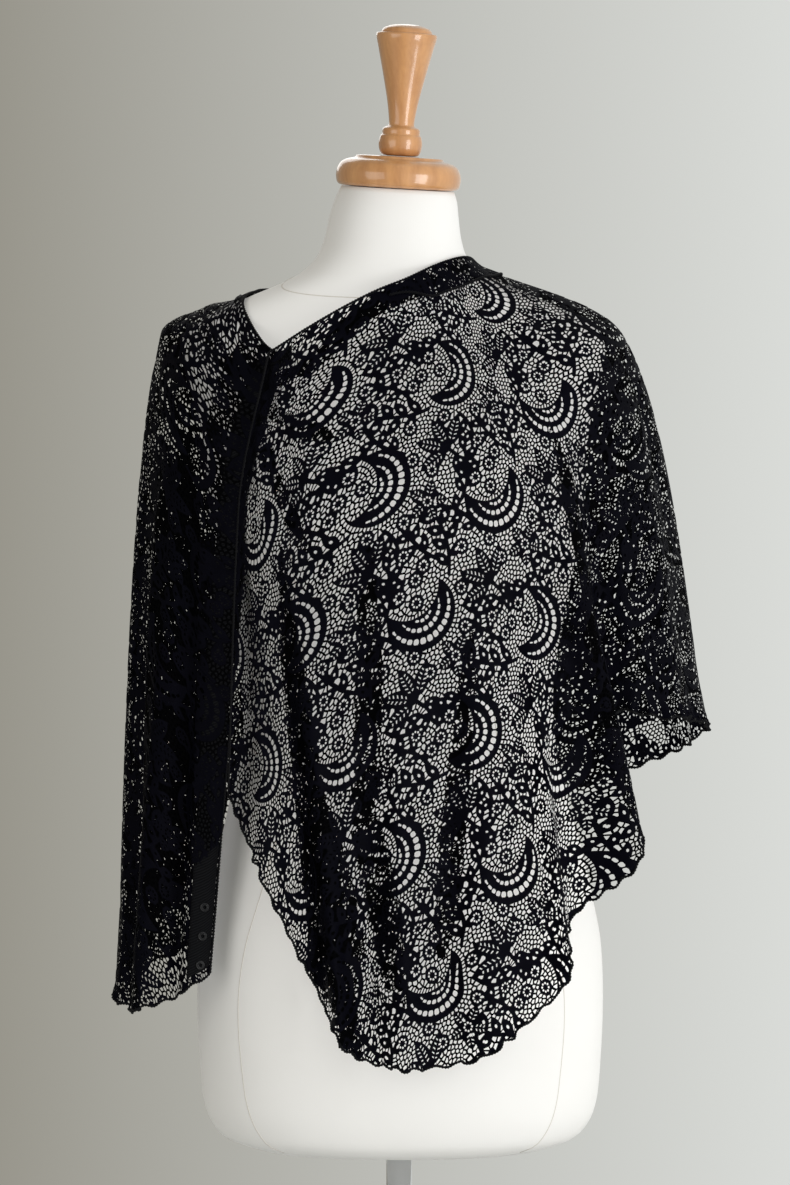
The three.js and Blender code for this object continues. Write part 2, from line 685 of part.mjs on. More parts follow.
function formTorso() {
  const turns = Array.from({ length: SIDES.form }, (_, i) => (i / SIDES.form) * 2 * Math.PI);
  const boreRing = (height) => {
    const radius = POLE.radius + POLE.clearance;
    return turns.map((t) => new THREE.Vector3(radius * Math.cos(t), radius * Math.sin(t), height));
  };
  const skin = FORM_SECTIONS.map(({ rise }) => turns.map((t) => formRing(rise, t)));
  const bore = [boreRing(FORM_BOTTOM + POLE.intoForm), boreRing(FORM_BOTTOM)];
  return mesh("form_torso", loft([...bore, ...skin]), MATERIALS.jersey);
}

// The turned block on the neck leans with the neck's top.
function neckBlock() {
  const block = new THREE.Group();
  const cap = mesh("neck_cap", turned(NECK_CAP, SIDES.neckCap), MATERIALS.wood);
  const finial = mesh("finial", turned(FINIAL, SIDES.finial), MATERIALS.wood);
  finial.position.z = NECK_CAP[NECK_CAP.length - 1][1] + SEAM_GAP;
  block.add(cap, finial);
  block.position.set(FORM_TOP.side, 0, FORM_BOTTOM + FORM_TOP.rise + SEAM_GAP);
  block.rotation.set(NECK_LEAN.front, NECK_LEAN.side, 0);
  return block;
}

function stand() {
  const bore = POLE.radius + POLE.clearance;
  const { radius, edge, crown, bossRadius, bossTop, floorOfBore } = BASE;
  const { foot, rim, cove, boss } = BASE_EDGES;
  const base = [
    [0, 0],
    [radius - foot.across, 0],
    [radius, foot.up],
    [radius, edge],
    [radius - rim.across, edge + rim.up],
    [bossRadius + cove.across, crown],
    [bossRadius, crown + cove.up],
    [bossRadius, bossTop - boss.up],
    [bossRadius - boss.across, bossTop],
    [bore, bossTop],
    [bore, floorOfBore],
    [0, floorOfBore],
  ];
  const low = floorOfBore + SEAM_GAP;
  const high = FORM_BOTTOM + POLE.intoForm - SEAM_GAP;
  const pole = [
    [0, low],
    [POLE.radius, low],
    [POLE.radius, high],
    [0, high],
  ];
  const pieces = new THREE.Group();
  pieces.add(mesh("base", turned(base, SIDES.base), MATERIALS.chrome));
  pieces.add(mesh("pole", turned(pole, SIDES.pole), MATERIALS.chrome));
  return pieces;
}

const part = new THREE.Group();
STRETCHES.forEach((stretch) => part.add(shawlStretch(stretch)));
part.add(neckFold(), snapTape(), ...studs(), cornerTape());
part.add(formTorso(), neckBlock(), stand());

export default part;
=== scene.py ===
"""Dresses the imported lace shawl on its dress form: cut lace, hems, snaps, jersey, wood and chrome.

Lengths in this script are millimetres in the part's own frame (+Z up, the front towards -Y);
a mesh is turned into metres when it is made.
"""
import math

import bpy
import numpy as np
from mathutils import Euler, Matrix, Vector
from mathutils.geometry import delaunay_2d_cdt


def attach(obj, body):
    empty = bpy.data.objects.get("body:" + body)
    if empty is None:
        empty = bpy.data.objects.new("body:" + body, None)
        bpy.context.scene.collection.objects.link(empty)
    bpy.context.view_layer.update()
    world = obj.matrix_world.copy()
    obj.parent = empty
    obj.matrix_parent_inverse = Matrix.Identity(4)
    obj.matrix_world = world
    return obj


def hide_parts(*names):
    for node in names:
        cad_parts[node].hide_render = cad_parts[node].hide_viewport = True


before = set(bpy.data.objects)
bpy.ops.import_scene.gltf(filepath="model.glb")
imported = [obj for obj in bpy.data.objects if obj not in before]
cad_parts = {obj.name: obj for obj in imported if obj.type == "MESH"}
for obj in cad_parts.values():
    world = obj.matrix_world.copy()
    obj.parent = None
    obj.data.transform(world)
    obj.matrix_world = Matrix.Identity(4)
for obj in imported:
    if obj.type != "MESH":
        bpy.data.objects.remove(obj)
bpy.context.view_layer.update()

MM = 0.001
TINY = 1e-6

# The photograph's size in pixels, the real size of one pixel at the form's middle plane,
# the pixel column of the pole's axis, and the camera's height, distance and sensor.
PHOTO_SIZE = (790, 1185)
PIXEL = 0.852
POLE_COLUMN = 399
CAMERA_HEIGHT = 906
CAMERA_DISTANCE = 3000
SENSOR = 36.0

# The form: rise above its underside, half width, depth to the front and to the back, and side shift.
FORM_BOTTOM = 435
FORM_SQUARENESS = 2.25
NECK_LEAN = {"side": math.radians(3.4), "front": math.radians(7), "from": 745}
FORM_SECTIONS = np.array([
    (0, 120, 78, 92, 1), (8, 146, 92, 108, 1), (20, 159, 99, 116, 1), (38, 166.5, 104, 122, 1),
    (68, 170, 107, 125, 1), (125, 172.5, 108, 128, 1), (175, 170.5, 107, 125, 1), (210, 164, 105, 117, 1),
    (252, 154.5, 102, 106, 1), (293, 144, 98, 95, 0), (340, 133.5, 95, 87, 0), (385, 132, 100, 84, -1),
    (435, 138, 114, 86, -1), (485, 149, 131, 91, -2), (515, 155, 136, 95, -2), (550, 160, 130, 99, -3),
    (595, 163, 112, 103, -3), (635, 170, 92, 103, -4), (665, 178, 76, 98, -4), (682, 180, 67, 91, -5),
    (694, 174, 62, 85, -5), (706, 157, 60, 80, -5), (721, 125, 58, 75, -6), (734, 94, 57, 70, -6),
    (742, 79, 56, 67, -6), (755, 65, 55, 63, -6), (771, 58.5, 54, 60, -5), (790, 55, 53, 57, -4),
    (806, 51.5, 50, 52, -2), (815, 48, 47, 49, -1),
], dtype=float)
FORM_TOP_RISE = FORM_SECTIONS[-1, 0]
FORM_TOP_SIDE = FORM_SECTIONS[-1, 4]

# Turned outlines, radius and height: the block's from their own undersides, the stand's from the floor.
NECK_CAP = [
    (0, 0), (49, 0), (52.5, 3), (53.5, 9), (53, 14), (50, 20), (45, 23), (37.5, 24.5), (37, 27), (0, 27),
]
FINIAL = [
    (0, 0), (15.5, 0), (18, 5), (18.8, 11), (17.5, 17), (16, 18), (16, 23), (13, 24.5), (10.3, 26),
    (13, 45), (18.5, 70), (24, 93), (25.4, 98), (25.9, 101), (25.6, 102.8), (24.6, 103.4), (22.2, 103.2),
    (21.6, 103.6), (21.4, 105), (19.5, 107.6), (13, 110), (6, 110.8), (0, 111),
]
POLE = [(0, 4.3), (10.8, 4.3), (10.8, 504.7), (0, 504.7)]
BASE = [(0, 0), (159, 0), (160, 1.5), (160, 6), (156, 8), (32, 12), (24, 16), (24, 40), (22, 42), (0, 42)]
FLOOR = [(0, -0.5), (600, -0.5), (1900, -0.5)]
BLOCK_GAP = 0.3
CORNER_CUT = 0.2
SIDES = {"stud": 36, "block": 72, "base": 96, "pole": 64, "floor": 96, "roll": 6, "seam": 6}

# The shawl's sections, from its free front edge round by the right and the back to its other end:
# a point on the neckline, one on the crest where the cloth leaves the form, and one on the hem.
SHAWL_SECTIONS = np.array([
    ((-108, -88, 1104), (-132, -103, 975), (-140, -116, 740)),
    ((-97, -88, 1111), (-109, -120, 955), (-93, -130, 634)),
    ((-79, -84, 1123), (-73, -135, 948), (-44, -138, 538)),
    ((-51, -78, 1140), (-31, -143, 945), (1, -141, 520)),
    ((-21, -72, 1156), (14, -143, 947), (66, -140, 529)),
    ((5, -66, 1167), (60, -139, 954), (131, -131, 584)),
    ((19, -60, 1174), (88, -131, 966), (141, -127, 636)),
    ((31, -52, 1180), (113, -119, 982), (191, -106, 688)),
    ((43, -40, 1184), (145, -92, 1030), (177, -82, 798)),
    ((54, -22, 1186), (174, -57, 1090), (221, -60, 801)),
    ((62, 0, 1186), (189, 0, 1127), (262, -2, 794)),
    ((59, 28, 1185), (179, 47, 1109), (254, 55, 776)),
    ((45, 52, 1183), (137, 88, 1075), (195, 98, 748)),
    ((18, 70, 1179), (69, 106, 1055), (99, 130, 712)),
    ((-18, 76, 1175), (-1, 112, 1048), (-1, 140, 678)),
    ((-54, 72, 1171), (-71, 106, 1056), (-106, 128, 638)),
    ((-86, 55, 1167), (-141, 86, 1080), (-191, 85, 600)),
    ((-109, 28, 1166), (-189, 42, 1115), (-235, 38, 575)),
    ((-123, 0, 1161), (-202, -8, 1126), (-241, -12, 562)),
    ((-129, -35, 1143), (-179, -58, 1085), (-221, -62, 557)),
    ((-113, -72, 1114), (-146, -84, 1030), (-181, -84, 575)),
    ((-97, -82, 1102), (-119, -88, 1005), (-157, -80, 590)),
], dtype=float)
NECK, CREST, HEM = range(3)
END_SECTION = len(SHAWL_SECTIONS) - 1

# Main folds: section at the neckline and at the hem, half width in sections, depth at the hem, start.
FOLDS = [
    (0.55, 0.7, 0.3, 7, 0.3), (1.15, 1.5, 0.34, -13, 0.2), (1.6, 1.98, 0.32, 14, 0.2),
    (3.2, 2.55, 0.42, -11, 0.25), (3.75, 3.05, 0.36, 14, 0.25), (4.7, 3.6, 0.36, -9, 0.3),
    (5.2, 4.1, 0.4, 11, 0.35), (7.1, 5.25, 0.6, 14, 0.25), (7.45, 6.3, 0.5, -12, 0.25),
    (8.0, 7.0, 0.45, 14, 0.25), (8.5, 8.1, 0.5, -14, 0.25), (9.3, 9.2, 0.42, 9, 0.35),
    (10.9, 10.7, 0.42, -9, 0.4), (11.6, 11.5, 0.45, 9, 0.4), (12.7, 12.6, 0.5, -14, 0.3),
    (13.5, 13.4, 0.46, 15, 0.3), (14.4, 14.5, 0.5, -15, 0.3), (15.2, 15.3, 0.46, 15, 0.3),
    (16.1, 16.2, 0.46, -13, 0.3), (16.8, 16.8, 0.38, 12, 0.3), (17.5, 17.4, 0.36, -12, 0.25),
    (18.5, 18.6, 0.36, -15, 0.25), (19.1, 19.2, 0.34, 11, 0.25), (19.7, 19.75, 0.34, -13, 0.25),
]

# Finer creases: first and last place (section, drop), sideways bow, half width and depth.
CREASES = [
    # Gathers that run from the closure across the chest
    ((0.6, 0.03), (3.6, 0.30), 10, 9, 3.0), ((0.9, 0.02), (4.3, 0.20), 8, 8, 2.6),
    ((1.4, 0.02), (4.8, 0.11), 6, 7, 2.4), ((0.5, 0.08), (2.7, 0.42), 8, 9, -3.0),
    ((0.7, 0.05), (3.1, 0.36), 10, 7, -2.4), ((0.3, 0.12), (1.7, 0.46), 5, 8, 3.0),
    ((2.2, 0.02), (5.4, 0.06), 5, 6, 2.0), ((2.6, 0.10), (5.6, 0.24), 12, 10, -2.6),
    # The pulled fold that arches under the closure
    ((0.5, 0.24), (3.0, 0.34), -26, 10, 4.5), ((0.6, 0.30), (2.8, 0.42), -22, 9, -3.5),
    # Soft breaks across the front panel
    ((3.6, 0.42), (5.3, 0.62), 14, 13, 3.5), ((2.3, 0.55), (3.4, 0.74), -10, 12, -3.0),
    ((4.4, 0.66), (5.3, 0.88), 10, 12, 3.4), ((5.6, 0.36), (6.8, 0.58), 12, 12, -3.4),
    ((6.3, 0.30), (7.4, 0.60), 9, 11, 3.2), ((1.9, 0.62), (2.6, 0.90), 6, 10, 3.0),
    # The swag over the lowest stretch of hem
    ((2.5, 0.90), (5.0, 0.90), 30, 12, 5.0), ((2.7, 0.84), (4.8, 0.82), 24, 11, -4.0),
    # Over the right shoulder and down that side
    ((8.3, 0.10), (8.9, 0.52), 8, 11, 3.5), ((9.6, 0.34), (9.9, 0.78), 5, 11, -3.2),
    ((10.2, 0.30), (10.3, 0.86), -6, 12, 3.6), ((11.1, 0.36), (11.2, 0.80), 7, 11, -3.0),
    # Across the back
    ((12.1, 0.30), (12.3, 0.86), 9, 12, 3.6), ((13.1, 0.16), (13.0, 0.70), -8, 12, -3.2),
    ((13.9, 0.42), (14.1, 0.94), 6, 11, 3.2), ((14.9, 0.24), (14.8, 0.80), -9, 12, 3.0),
    ((15.7, 0.30), (15.8, 0.92), 8, 11, -3.4), ((12.6, 0.05), (15.6, 0.06), 16, 9, 2.2),
    # Over the left shoulder to the end
    ((17.0, 0.30), (17.1, 0.90), 6, 11, 3.4), ((18.0, 0.22), (18.1, 0.86), -7, 12, 4.0),
    ((18.9, 0.26), (18.8, 0.72), 5, 9, 3.2), ((19.4, 0.16), (19.5, 0.92), -5, 9, -3.4),
    ((20.3, 0.04), (18.8, 0.16), 6, 8, 2.4), ((20.4, 0.07), (19.2, 0.26), 6, 8, -2.2),
    ((20.6, 0.12), (19.9, 0.46), 5, 8, 2.2), ((16.6, 0.05), (19.2, 0.05), 10, 9, 2.0),
]
# A crease's half width at its start and how much that grows, in shares, the share of its length that is
# left at each end before it fades out, and how abruptly it fades.
CREASE = {"start": 0.7, "growth": 0.6, "ends": 0.05, "fade": 0.7}
# Pleats, where the lace lies in more than one layer: first and last place (section, drop), half width
# at both, depth and count of under-layers. A pleat narrows to a point at each end that isn't at the hem,
# over a shorter length where it starts close to the neckline.
PLEATS = [
    # The long fold down the front's left side, widest at the hem
    ((1.25, 0.26), (1.80, 1.0), 8, 38, 7, 2),
    # Soft folds down the front
    ((3.25, 0.28), (2.70, 0.74), 10, 15, 4, 1), ((4.85, 0.44), (3.55, 0.93), 9, 14, 5, 1),
    ((2.45, 0.60), (3.15, 0.95), 12, 22, 5, 1), ((1.75, 0.62), (2.20, 0.97), 14, 34, 5, 1),
    # The fold under the right arm
    ((7.75, 0.34), (7.45, 0.93), 12, 30, 7, 2),
    # Gathers from the closure across the chest and over the left shoulder
    ((0.02, 0.03), (3.3, 0.05), 11, 9, 2, 2), ((0.05, 0.07), (3.0, 0.19), 9, 9, 2, 1),
    ((0.1, 0.11), (2.2, 0.36), 7, 9, 2, 1), ((20.9, 0.04), (18.3, 0.06), 11, 9, 2, 1),
    ((2.2, 0.025), (7.2, 0.03), 12, 11, 2, 2),
    # The left stretch, gathered at its end
    ((19.2, 0.15), (19.35, 0.95), 30, 46, 9, 2), ((17.9, 0.34), (18.1, 0.90), 12, 20, 6, 1),
    # Folds down the back
    ((12.9, 0.24), (12.7, 0.95), 12, 24, 6, 1), ((14.5, 0.28), (14.6, 0.93), 11, 20, 6, 1),
    ((15.9, 0.26), (16.0, 0.95), 10, 22, 6, 1),
]
# A pleat's gap to the cloth above it, the drop up to which it starts close to the neckline, the shares of
# its length over which it opens there and elsewhere, where it begins to close, and where it ends at the hem.
PLEAT = {"gap": 0.7, "close": 0.12, "quick": 0.12, "slow": 0.3, "closing": 0.7, "past_hem": 1.2}
# The closure draws in spare cloth above the neckline, over a length below it and so many sections.
GATHER = {"spare": 30, "reach": 75, "sections": 5}
# Waves of the hem: length, height, how far up they reach, their shift along the cloth and its pace, the
# sways (size, length) that make them uneven, the steady share of the height and the length it changes over.
HEM_WAVE = {"period": 15, "height": 2.6, "reach": 15, "scallop": 1.5, "pace": 0.7,
            "sways": ((1.9, 47), (1, 23)), "steady": 0.65, "change": 61}
# The lace's distance from the form, and what is added to it before and after the creases.
REST_GAP = 1.2
ADDED_GAP = {"folded": 0.6, "creased": 0.3}

# Stretches of the one length of lace, by section.
STRETCHES = [
    ("shawl_front", 0, 7.62), ("shawl_right", 7.62, 11.6),
    ("shawl_back", 11.6, 16.4), ("shawl_left", 16.4, 21),
]
NECK_FOLD = {"from": 4.4, "to": 18.6, "width": 26, "narrow": 0.35, "taper": 2, "height": 1.5}
SNAP_TAPE = {"from": 20.13, "to": 20.88, "above_hem": 8, "low": 0.7, "high": 1.7}
# The lace's end turned over the tape: width, height off the lace, and the drops at its two lower corners.
END_FACING = {"width": 30, "height": 2.4, "inner_drop": 0.81, "outer_drop": 0.78}
CORNER_TAPE = {"width": 19, "height": 11, "drop": 4, "inset": 4, "low": -1.7, "high": -0.7, "sections": 2}
# Rows and columns of the tapes' meshes.
SNAP_GRID = (260, 13)
CORNER_GRID = (12, 18)
# Rows of stitches: length of a stitch and its gap, thickness, share that shows, and the column they run in.
STITCH = {"pitch": 3.4, "radius": 0.28, "share": 0.62, "steps": 6, "sides": 5, "lift": 0.1, "column": 1}
# The rolled edge: radius, height of the thread's wraps and their distance; points asked of the drape.
ROLL = {"radius": 1.05, "wrap": 0.28, "step": 1.3, "lift": 0.6, "weld": 1e-3,
        "down": 900, "round": 5200, "fold": 1600}
STUD = {"radius": 4, "height": 1.4, "bore": 1.3, "pitch": 24, "first_above": 2, "count": 3, "sunk": 0.1}
# A stud's outline in shares of its radius or its bore, and of its height: the ring, then the socket.
STUD_RING = [(1, 0), (1, 0.35), (0.9, 0.7), (0.8, 0.78), (0.74, 0.7), (0.66, 0.72), (0.58, 1)]
STUD_SOCKET = [(1.45, 1), (1.05, 0.85), (1, 0.5)]

# The flat lace: radius of its neckline and one repeat of its pattern.
NECK_RADIUS_FLAT = 330
REPEAT = np.array((112.0, 196.0))
# The ground: distance between holes of the net, and of the row of holes that lines every motif,
# how far that row lies off the motif's edge, the width of the thread between holes, how much closer
# all of these are down the cloth than across it, the least size of a hole and the shortest of its edges,
# and the passes in which the holes spread.
NET = {"pitch": 4.75, "lining": 3.8, "off": 2.0, "thread": 1.7, "squeeze": 1.35, "least": 1.0, "short": 0.6,
       "passes": 14}
# Shares: of "off", how near a motif a lining or a net hole may start; of "lining", how near each other
# the lining holes may be; of "pitch", how near these a net hole may start, the step of a pass and the
# greatest radius of a hole.
NET_SHARE = {"lining_off": 0.9, "net_off": 0.8, "lining": 0.88, "net": 0.62, "step": 0.4, "hole": 0.75}
HOLE_CORNERS = 8
# Half of one repeat; the other half is its mirror image, half a repeat further down.
MIRROR_SUM = 116
# A crescent: middle, tilt, half its angle, radius of its inner edge, greatest width of its outer band,
# steps of its outline, and the powers that shape its tips and its hollow.
CRESCENT = {"at": (30, 46), "tilt": -0.45, "reach": 1.9, "inner": 8.5, "band": 4.8,
            "steps": 28, "blunt": 0.6, "hollow": 2.5}
# Ladders of a crescent, the outer one first: inner radius, greatest width, angle of a step, bar, reach.
LADDERS = [(25.8, 5.2, 0.205, 1.2, 1.66), (17.4, 4.0, 0.27, 1.2, 1.5), (10.9, 2.9, 0.36, 1.1, 1.0)]
# Rosettes: place. Each is a disc with a ring of holes.
ROSETTES = [
    (31, 43), (45, 31), (28, 27), (57, 30), (55, 10), (88, 50), (109, 68), (62, 70), (40, 92), (106, 88),
]
ROSETTE = {"radius": 6.1, "scallop": 0.3, "holes": 8, "ring": 3.35, "hole": 0.98, "corners": 6}
# Flowers: place, petals, length and width of a petal, and turn.
FLOWERS = [(17, 100, 5, 14, 10, 0.55)]
# Fans of pierced leaves: foot, bearing of its middle, leaves, angle between them, length and width.
FANS = [(83, 91, math.pi, 4, 0.8, 27, 12)]
# Sprays: first and last point of the stem, its bow, leaves on alternate sides, length and width of a leaf.
SPRAYS = [
    (64, 54, 96, 4, 7, 9, 15, 7.4), (6, 27, 40, 6, 4, 7, 12.5, 6.2), (68, 38, 70, 4, -3, 5, 12, 6),
    (108, 58, 104, 16, 4, 6, 12, 6), (52, 80, 62, 104, 3, 4, 12, 6), (83, 91, 88, 116, 2, 3, 11, 6),
]
# A leaf's outline, its angle to the stem and the length of its stalk; a spray's leaf has one hole, in shares
# of its length, and a petal or a fan's leaf has pairs of slits, in shares of its length, a slit's pitch and
# its half width.
LEAF = {"steps": 8, "forward": 0.85, "full": 0.8, "angle": 0.95, "stalk": 1.6, "bearing_step": 0.04}
LEAF_HOLE = {"at": 0.47, "size": 0.12, "squash": 0.7, "corners": 6}
LEAF_SLIT = {"from": 0.13, "span": 0.68, "open": 0.36, "inner": 0.2, "outer": 0.62, "lean": 0.45}
SLIT_CORNERS = [("inner", -0.5), ("inner", 0.5), ("outer", 0.35), ("outer", -0.35)]
PETAL = {"slits": 3, "foot": 0.25}
FAN_LEAF = {"slits": 5, "foot": 0.14}
STEM = {"width": 1.7, "steps": 6}
# Corners of a gap with its corners cut: shares of its half length and its width.
GAP_CORNERS = [(-0.6, 0), (0.6, 0), (1, 0.25), (1, 0.75), (0.6, 1), (-0.6, 1), (-1, 0.75), (-1, 0.25)]
MOTIF_RAISE = 0.35
# How far the pattern of an under-layer is moved on, in repeats, from pleat to pleat and layer to layer.
PATTERN_SHIFT = (0.23, 0.37)

# The studio: the surroundings' colour to the left and to the right, and how far to each side it changes; the
# darker left is painted shade on the background, and it also gives less light from that side.
SURROUNDINGS = {"left": (0.30, 0.287, 0.245), "right": (0.71, 0.725, 0.70), "change": 0.12}
# Lights: name, place, target and size in metres, and power in watts.
LIGHTS = [
    ("key", (1.9, -2.0, 0.85), (0, 0, 0.75), (1.1, 2.3), 46),
    ("fill", (-1.9, -2.0, 1.2), (0, 0, 0.9), (1.8, 1.8), 18),
    ("back", (-0.7, 2.6, 2.6), (0, 0, 0.9), (1.8, 1.8), 14),
]


# Curves and small sums

def arch(t):
    """From 0 at both ends to 1 in the middle."""
    return 4 * t * (1 - t)


def round_turn(count):
    """Even bearings all the way round."""
    return np.linspace(0, 2 * math.pi, count, endpoint=False)


def split(place, last):
    """Whole and broken part of places along a row of values, held inside the row."""
    place = np.clip(place, 0, last - 1e-4)
    whole = place.astype(int)
    return whole, place - whole


def smoothstep(low, high, value):
    t = np.clip((value - low) / (high - low), 0, 1)
    return t * t * (3 - 2 * t)


def hermite(start, leave, end, arrive, t):
    t2, t3 = t * t, t * t * t
    ends = start * (2 * t3 - 3 * t2 + 1) + end * (3 * t2 - 2 * t3)
    return ends + leave * (t3 - 2 * t2 + t) + arrive * (t3 - t2)


def table_curve(places, values, at):
    """A smooth curve through a table's rows, with the neighbours' slope at each row."""
    before = np.maximum(np.arange(len(places)) - 1, 0)
    after = np.minimum(np.arange(len(places)) + 1, len(places) - 1)
    slope = (values[after] - values[before]) / (places[after] - places[before])
    i = np.clip(np.searchsorted(places, at, side="left") - 1, 0, len(places) - 2)
    span = places[i + 1] - places[i]
    t = np.clip((at - places[i]) / span, 0, 1)
    return hermite(values[i], slope[i] * span, values[i + 1], slope[i + 1] * span, t)


def section_points(line, sections):
    """Points of the neckline, crest or hem at fractional section numbers."""
    rows = SHAWL_SECTIONS[:, line]
    i = np.minimum(sections.astype(int), END_SECTION - 1)
    t = (sections - i)[:, None]
    a, b, c, d = (rows[np.clip(i + k, 0, END_SECTION)] for k in (-1, 0, 1, 2))
    return hermite(b, (c - a) / 2, c, (d - b) / 2, t)


# The form

FORM_LOOKUP_STEP = 0.5
_rises = np.arange(0, FORM_TOP_RISE + FORM_LOOKUP_STEP, FORM_LOOKUP_STEP)
_form_columns = [table_curve(FORM_SECTIONS[:, 0], FORM_SECTIONS[:, k], _rises) for k in (1, 2, 3, 4)]


def form_sizes(rise):
    return [np.interp(rise, _rises, column) for column in _form_columns]


def form_point(rise, turn):
    """A point on the form's skin at a rise and a bearing round it."""
    half, front, back, side = form_sizes(rise)
    power = 2 / FORM_SQUARENESS
    cos, sin = np.cos(turn), np.sin(turn)
    x = half * np.sign(cos) * np.abs(cos) ** power
    y = np.where(sin < 0, front, back) * np.sign(sin) * np.abs(sin) ** power
    leaning = smoothstep(NECK_LEAN["from"], FORM_TOP_RISE, rise)
    slope = y * math.tan(NECK_LEAN["front"]) - x * math.tan(NECK_LEAN["side"])
    return np.stack([side + x, y, FORM_BOTTOM + rise + slope * leaning], axis=-1)


def form_level(points):
    """Below zero inside the form, zero on it, above zero outside."""
    half, front, back, side = form_sizes(points[..., 2] - FORM_BOTTOM)
    across = np.abs(points[..., 0] - side) / half
    deep = np.abs(points[..., 1]) / np.where(points[..., 1] < 0, front, back)
    return (across ** FORM_SQUARENESS + deep ** FORM_SQUARENESS) ** (1 / FORM_SQUARENESS) - 1


def push_clear(points, clearance):
    """Moves points straight out of the form until they are the given distance clear of it."""
    probe = 0.5
    passes = 5
    for _ in range(passes):
        level = form_level(points)
        slope = np.stack([(form_level(points + probe * axis) - level) / probe for axis in np.eye(3)], axis=-1)
        steep = np.linalg.norm(slope, axis=-1)
        short = np.maximum(clearance - level / steep, 0)
        points = points + slope * (short / steep)[..., None]
    return points


# The drape

SECTION_STEP = 0.02
DROP_ROWS = 240
SECTIONS = np.linspace(0, END_SECTION, round(END_SECTION / SECTION_STEP) + 1)
DROPS = np.linspace(0, 1, DROP_ROWS + 1)


def hang_grid():
    """The smooth hang: along the form from neck to crest, then down to the hem."""
    neck, crest, hem = (section_points(line, SECTIONS) for line in (NECK, CREST, HEM))
    upper = np.linalg.norm(crest - neck, axis=1)
    turn = (upper / (upper + np.linalg.norm(hem - crest, axis=1)))[:, None]
    rise = (crest - neck) / turn
    fall = (hem - crest) / (1 - turn)
    same = rise * fall > 0
    middle = np.where(same, 2 * rise * fall / np.where(same, rise + fall, 1), 0)
    drop = DROPS[None, :, None]
    rows = (neck, crest, hem, turn, rise, fall, middle)
    neck, crest, hem, turn, rise, fall, middle = (row[:, None] for row in rows)
    rest = 1 - turn
    above = hermite(neck, rise * turn, crest, middle * turn, drop / turn)
    below = hermite(crest, middle * rest, hem, fall * rest, (drop - turn) / rest)
    return np.where(drop < turn, above, below)


def outward_of(grid):
    """Unit outward directions of a grid of points over sections and drops."""
    along = np.gradient(grid, axis=0)
    down = np.gradient(grid, axis=1)
    outward = np.cross(down, along)
    return outward / np.linalg.norm(outward, axis=-1, keepdims=True)


def fold_depths():
    section, drop = np.meshgrid(SECTIONS, DROPS, indexing="ij")
    depth = np.zeros_like(section)
    for neck, hem, half, deep, start in FOLDS:
        off = np.abs(section - (neck + (hem - neck) * drop)) / half
        shape = np.where(off < 1, np.cos(np.minimum(off, 1) * math.pi / 2) ** 2, 0)
        depth += deep * smoothstep(start, 1, drop) * shape
    return depth


def lengths_along(points, axis):
    steps = np.linalg.norm(np.diff(points, axis=axis), axis=-1)
    zero = np.zeros_like(np.take(steps, [0], axis=axis))
    return np.cumsum(np.concatenate([zero, steps], axis=axis), axis=axis)


_hang = hang_grid()
_plain = push_clear(_hang + outward_of(_hang) * fold_depths()[..., None], REST_GAP + ADDED_GAP["folded"])

# The flat development: length down each section and turn round the flat ring, on a coarser chart.
CHART_SECTIONS = 5
CHART_DROPS = 6
_chart = _plain[::CHART_SECTIONS, ::CHART_DROPS]
CHART_SECTION = SECTIONS[::CHART_SECTIONS]
CHART_DOWN = lengths_along(_chart, 1)
_middle = (_chart.shape[1] - 1) // 2
_radius = NECK_RADIUS_FLAT + (CHART_DOWN[1:, _middle] + CHART_DOWN[:-1, _middle]) / 2
_arc = np.linalg.norm(np.diff(_chart[:, _middle], axis=0), axis=-1)
CHART_TURN = np.concatenate([[0], np.cumsum(_arc / _radius)])
FULL_TURN = CHART_TURN[-1]


def to_flat(section, drop):
    """Flat place (across, down) of a place on the drape."""
    turn = np.interp(section, CHART_SECTION, CHART_TURN) - FULL_TURN / 2
    length = NECK_RADIUS_FLAT + length_at(section, drop)
    return np.stack([length * np.sin(turn), length * np.cos(turn)], axis=-1)


def chart_rows(section):
    i, part = split(section / (CHART_SECTION[1] - CHART_SECTION[0]), len(CHART_SECTION) - 1)
    part = part[..., None]
    return CHART_DOWN[i] * (1 - part) + CHART_DOWN[i + 1] * part


def length_at(section, drop):
    """Length of cloth from the neckline down to a drop."""
    section, drop = np.broadcast_arrays(np.asarray(section, float), np.asarray(drop, float))
    rows = chart_rows(section)
    last = rows.shape[-1] - 1
    i, part = split(drop * last, last)
    low, high = (np.take_along_axis(rows, (i + k)[..., None], -1)[..., 0] for k in (0, 1))
    return low + (high - low) * part


def drop_at(section, length):
    """The drop at a length of cloth below the neckline, held between the neckline and the hem."""
    section, length = np.broadcast_arrays(np.asarray(section, float), np.asarray(length, float))
    rows = chart_rows(section)
    last = rows.shape[-1] - 1
    i = np.clip((rows <= length[..., None]).sum(axis=-1) - 1, 0, last - 1)
    low, high = (np.take_along_axis(rows, (i + k)[..., None], -1)[..., 0] for k in (0, 1))
    return np.clip((i + (length - low) / (high - low)) / last, 0, 1)


def flat_line(first, last):
    """The straight line between two places on the flat cloth: its start, length, direction and side."""
    start, end = (to_flat(np.array(place[0]), np.array(place[1])) for place in (first, last))
    span = np.linalg.norm(end - start)
    axis = (end - start) / span
    return start, span, axis, np.array((-axis[1], axis[0]))


